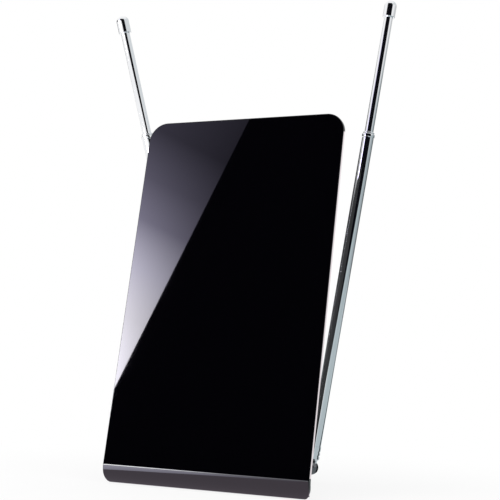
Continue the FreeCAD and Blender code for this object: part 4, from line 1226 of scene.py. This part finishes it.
@dataclass
class Room:
    """The studio round the aerial: dark behind the camera, white at the left, cool at the right, grey behind.

    Turns are degrees to the right of the way to the camera, and heights are the upward part of a direction.
    """

    yaw: float
    plain: Colour = (0.6, 0.6, 0.6)
    low_right: Stops = ((0.0, (0.51, 0.59, 0.61)), (20.0, (0.5, 0.57, 0.59)), (60.0, (0.43, 0.5, 0.52)),
                        (85.0, (0.36, 0.41, 0.43)), (110.0, (0.27, 0.31, 0.32)), (180.0, (0.25, 0.27, 0.28)))
    high_right: Stops = ((0.0, (0.95, 0.95, 0.95)), (60.0, (0.95, 0.95, 0.95)), (80.0, (0.85, 0.85, 0.85)),
                         (110.0, (0.7, 0.7, 0.7)), (180.0, (0.6, 0.6, 0.6)))
    high_right_band: Band = (0.1, 0.24)
    top_right: Colour = (0.72, 0.75, 0.76)
    top_right_band: Band = (0.29, 0.37)
    left_bar: Colour = (0.03, 0.03, 0.034)
    left_bar_low: Band = (0.08, 0.14)
    left_bar_high: Band = (0.29, 0.42)
    parting: Band = (-1.0, 1.0)
    dark: Colour = (0.004, 0.004, 0.006)
    dark_left: tuple[Band, Band] = ((0.139, 0.212), (-20.0, -64.0))
    dark_right_rise: tuple[Band, Band] = ((0.085, 0.13), (-24.0, 45.0))
    dark_right_fall: tuple[Band, Band] = ((0.2, 0.45), (46.0, 26.0))
    dark_left_edge: Band = (-3.0, 3.0)
    dark_right_edge: Band = (-4.0, 4.0)
    ceiling_band: Band = (0.72, 0.86)

    def walls(self) -> bpy.types.NodeTree:
        """The colours that mirrors see.

        Returns:
            A node group that gives the colour seen in a direction.
        """
        build, given, result = new_group("studio_walls", {"Direction": SocketKind.VECTOR},
                                         {"Color": SocketKind.COLOUR})
        yaw = math.radians(self.yaw)
        to_camera, to_right = (math.sin(yaw), -math.cos(yaw), 0.0), (math.cos(yaw), math.sin(yaw), 0.0)
        ahead, aside = (build.add("ShaderNodeVectorMath", {0: given["Direction"], 1: axis},
                                  operation="DOT_PRODUCT").outputs["Value"] for axis in (to_camera, to_right))
        turn = build.math("DEGREES", build.math("ARCTAN2", aside, ahead))
        height = build.add("ShaderNodeSeparateXYZ", {0: given["Direction"]}).outputs["Z"]
        share = build.math("DIVIDE", turn, 180.0)
        low, high = (build.ramp(share, tuple((angle / 180.0, colour) for angle, colour in stops))
                     for stops in (self.low_right, self.high_right))
        at_right = build.mix(build.step(height, self.high_right_band), low, high)
        at_right = build.mix(build.step(height, self.top_right_band), at_right, self.top_right)
        bar = build.math("MULTIPLY", build.step(height, self.left_bar_low),
                         build.fall(height, self.left_bar_high))
        at_left = build.mix(bar, WHITE, self.left_bar)
        sides = build.mix(build.step(turn, self.parting), at_left, at_right)
        left = build.carry(height, *self.dark_left)
        right = build.math("MINIMUM", build.carry(height, *self.dark_right_rise, clamp=False),
                           build.carry(height, *self.dark_right_fall))
        dark = build.math("MULTIPLY", build.step(build.math("SUBTRACT", turn, left), self.dark_left_edge),
                          build.fall(build.math("SUBTRACT", turn, right), self.dark_right_edge))
        around = build.mix(dark, sides, self.dark)
        roofed = build.mix(build.step(height, self.ceiling_band), around, WHITE)
        build.tree.links.new(roofed, result["Color"])
        return build.tree

    def build(self) -> None:
        """White to the camera, a plain grey for diffuse light, and the walls for what mirrors."""
        world = bpy.data.worlds.new("studio")
        world.use_nodes = True
        world.node_tree.nodes.clear()
        bpy.context.scene.world = world
        build = NodeBuilder(world.node_tree)
        direction = build.add("ShaderNodeTexCoord").outputs["Generated"]
        walls = build.add("ShaderNodeGroup", {"Direction": direction}, node_tree=self.walls())
        path = build.add("ShaderNodeLightPath").outputs
        lit = build.mix(path["Is Glossy Ray"], self.plain, walls.outputs["Color"])
        shown = build.mix(path["Is Camera Ray"], lit, WHITE)
        background = build.add("ShaderNodeBackground", {"Color": shown, "Strength": 1.0})
        build.add("ShaderNodeOutputWorld", {"Surface": background.outputs[0]})


@dataclass
class SoftLamp:
    """A large soft lamp, seen by no mirror."""

    name: str
    place: Point
    side: float
    power: float
    target: Point = (0.0, 0.0, 0.12)

    def build(self) -> None:
        """Hangs the lamp and aims it."""
        data = bpy.data.lights.new(self.name, "AREA")
        data.size = self.side
        data.energy = self.power
        lamp = bpy.data.objects.new(self.name, data)
        aim = Vector(self.target) - Vector(self.place)
        lamp.matrix_world = Matrix.Translation(self.place) @ aim.to_track_quat("-Z", "Y").to_matrix().to_4x4()
        lamp.visible_glossy = False
        bpy.context.scene.collection.objects.link(lamp)


@dataclass
class Studio:
    """Camera, floor, lamps and the room that the gloss and chrome mirror."""

    camera: StudioCamera = field(default_factory=StudioCamera)
    floor: Floor = field(default_factory=Floor)
    key: SoftLamp = field(default_factory=lambda: SoftLamp("key", (-0.9, -1.0, 1.5), 1.2, 14.0))
    fill: SoftLamp = field(default_factory=lambda: SoftLamp("fill", (1.2, -0.5, 1.1), 1.0, 6.0))

    def build(self, moulded: bpy.types.Object) -> None:
        """Sets up the whole studio.

        Args:
            moulded: the front cover, which mirrors the cards.
        """
        self.camera.build()
        self.floor.build()
        Room(self.camera.yaw).build()
        CardSet(self.camera).build(moulded)
        self.key.build()
        self.fill.build()
        bpy.context.scene.view_settings.view_transform = "Standard"


def main() -> None:
    """Builds and dresses each sub-assembly, and then the studio."""
    logging.basicConfig(level=logging.INFO, format="%(message)s")
    cover = Panel().build()
    Foot().dress()
    AerialSocket().build()
    for side in Side:
        TelescopicRod(side).build()
    Studio().build(cover)


if __name__ == "__main__":
    main()
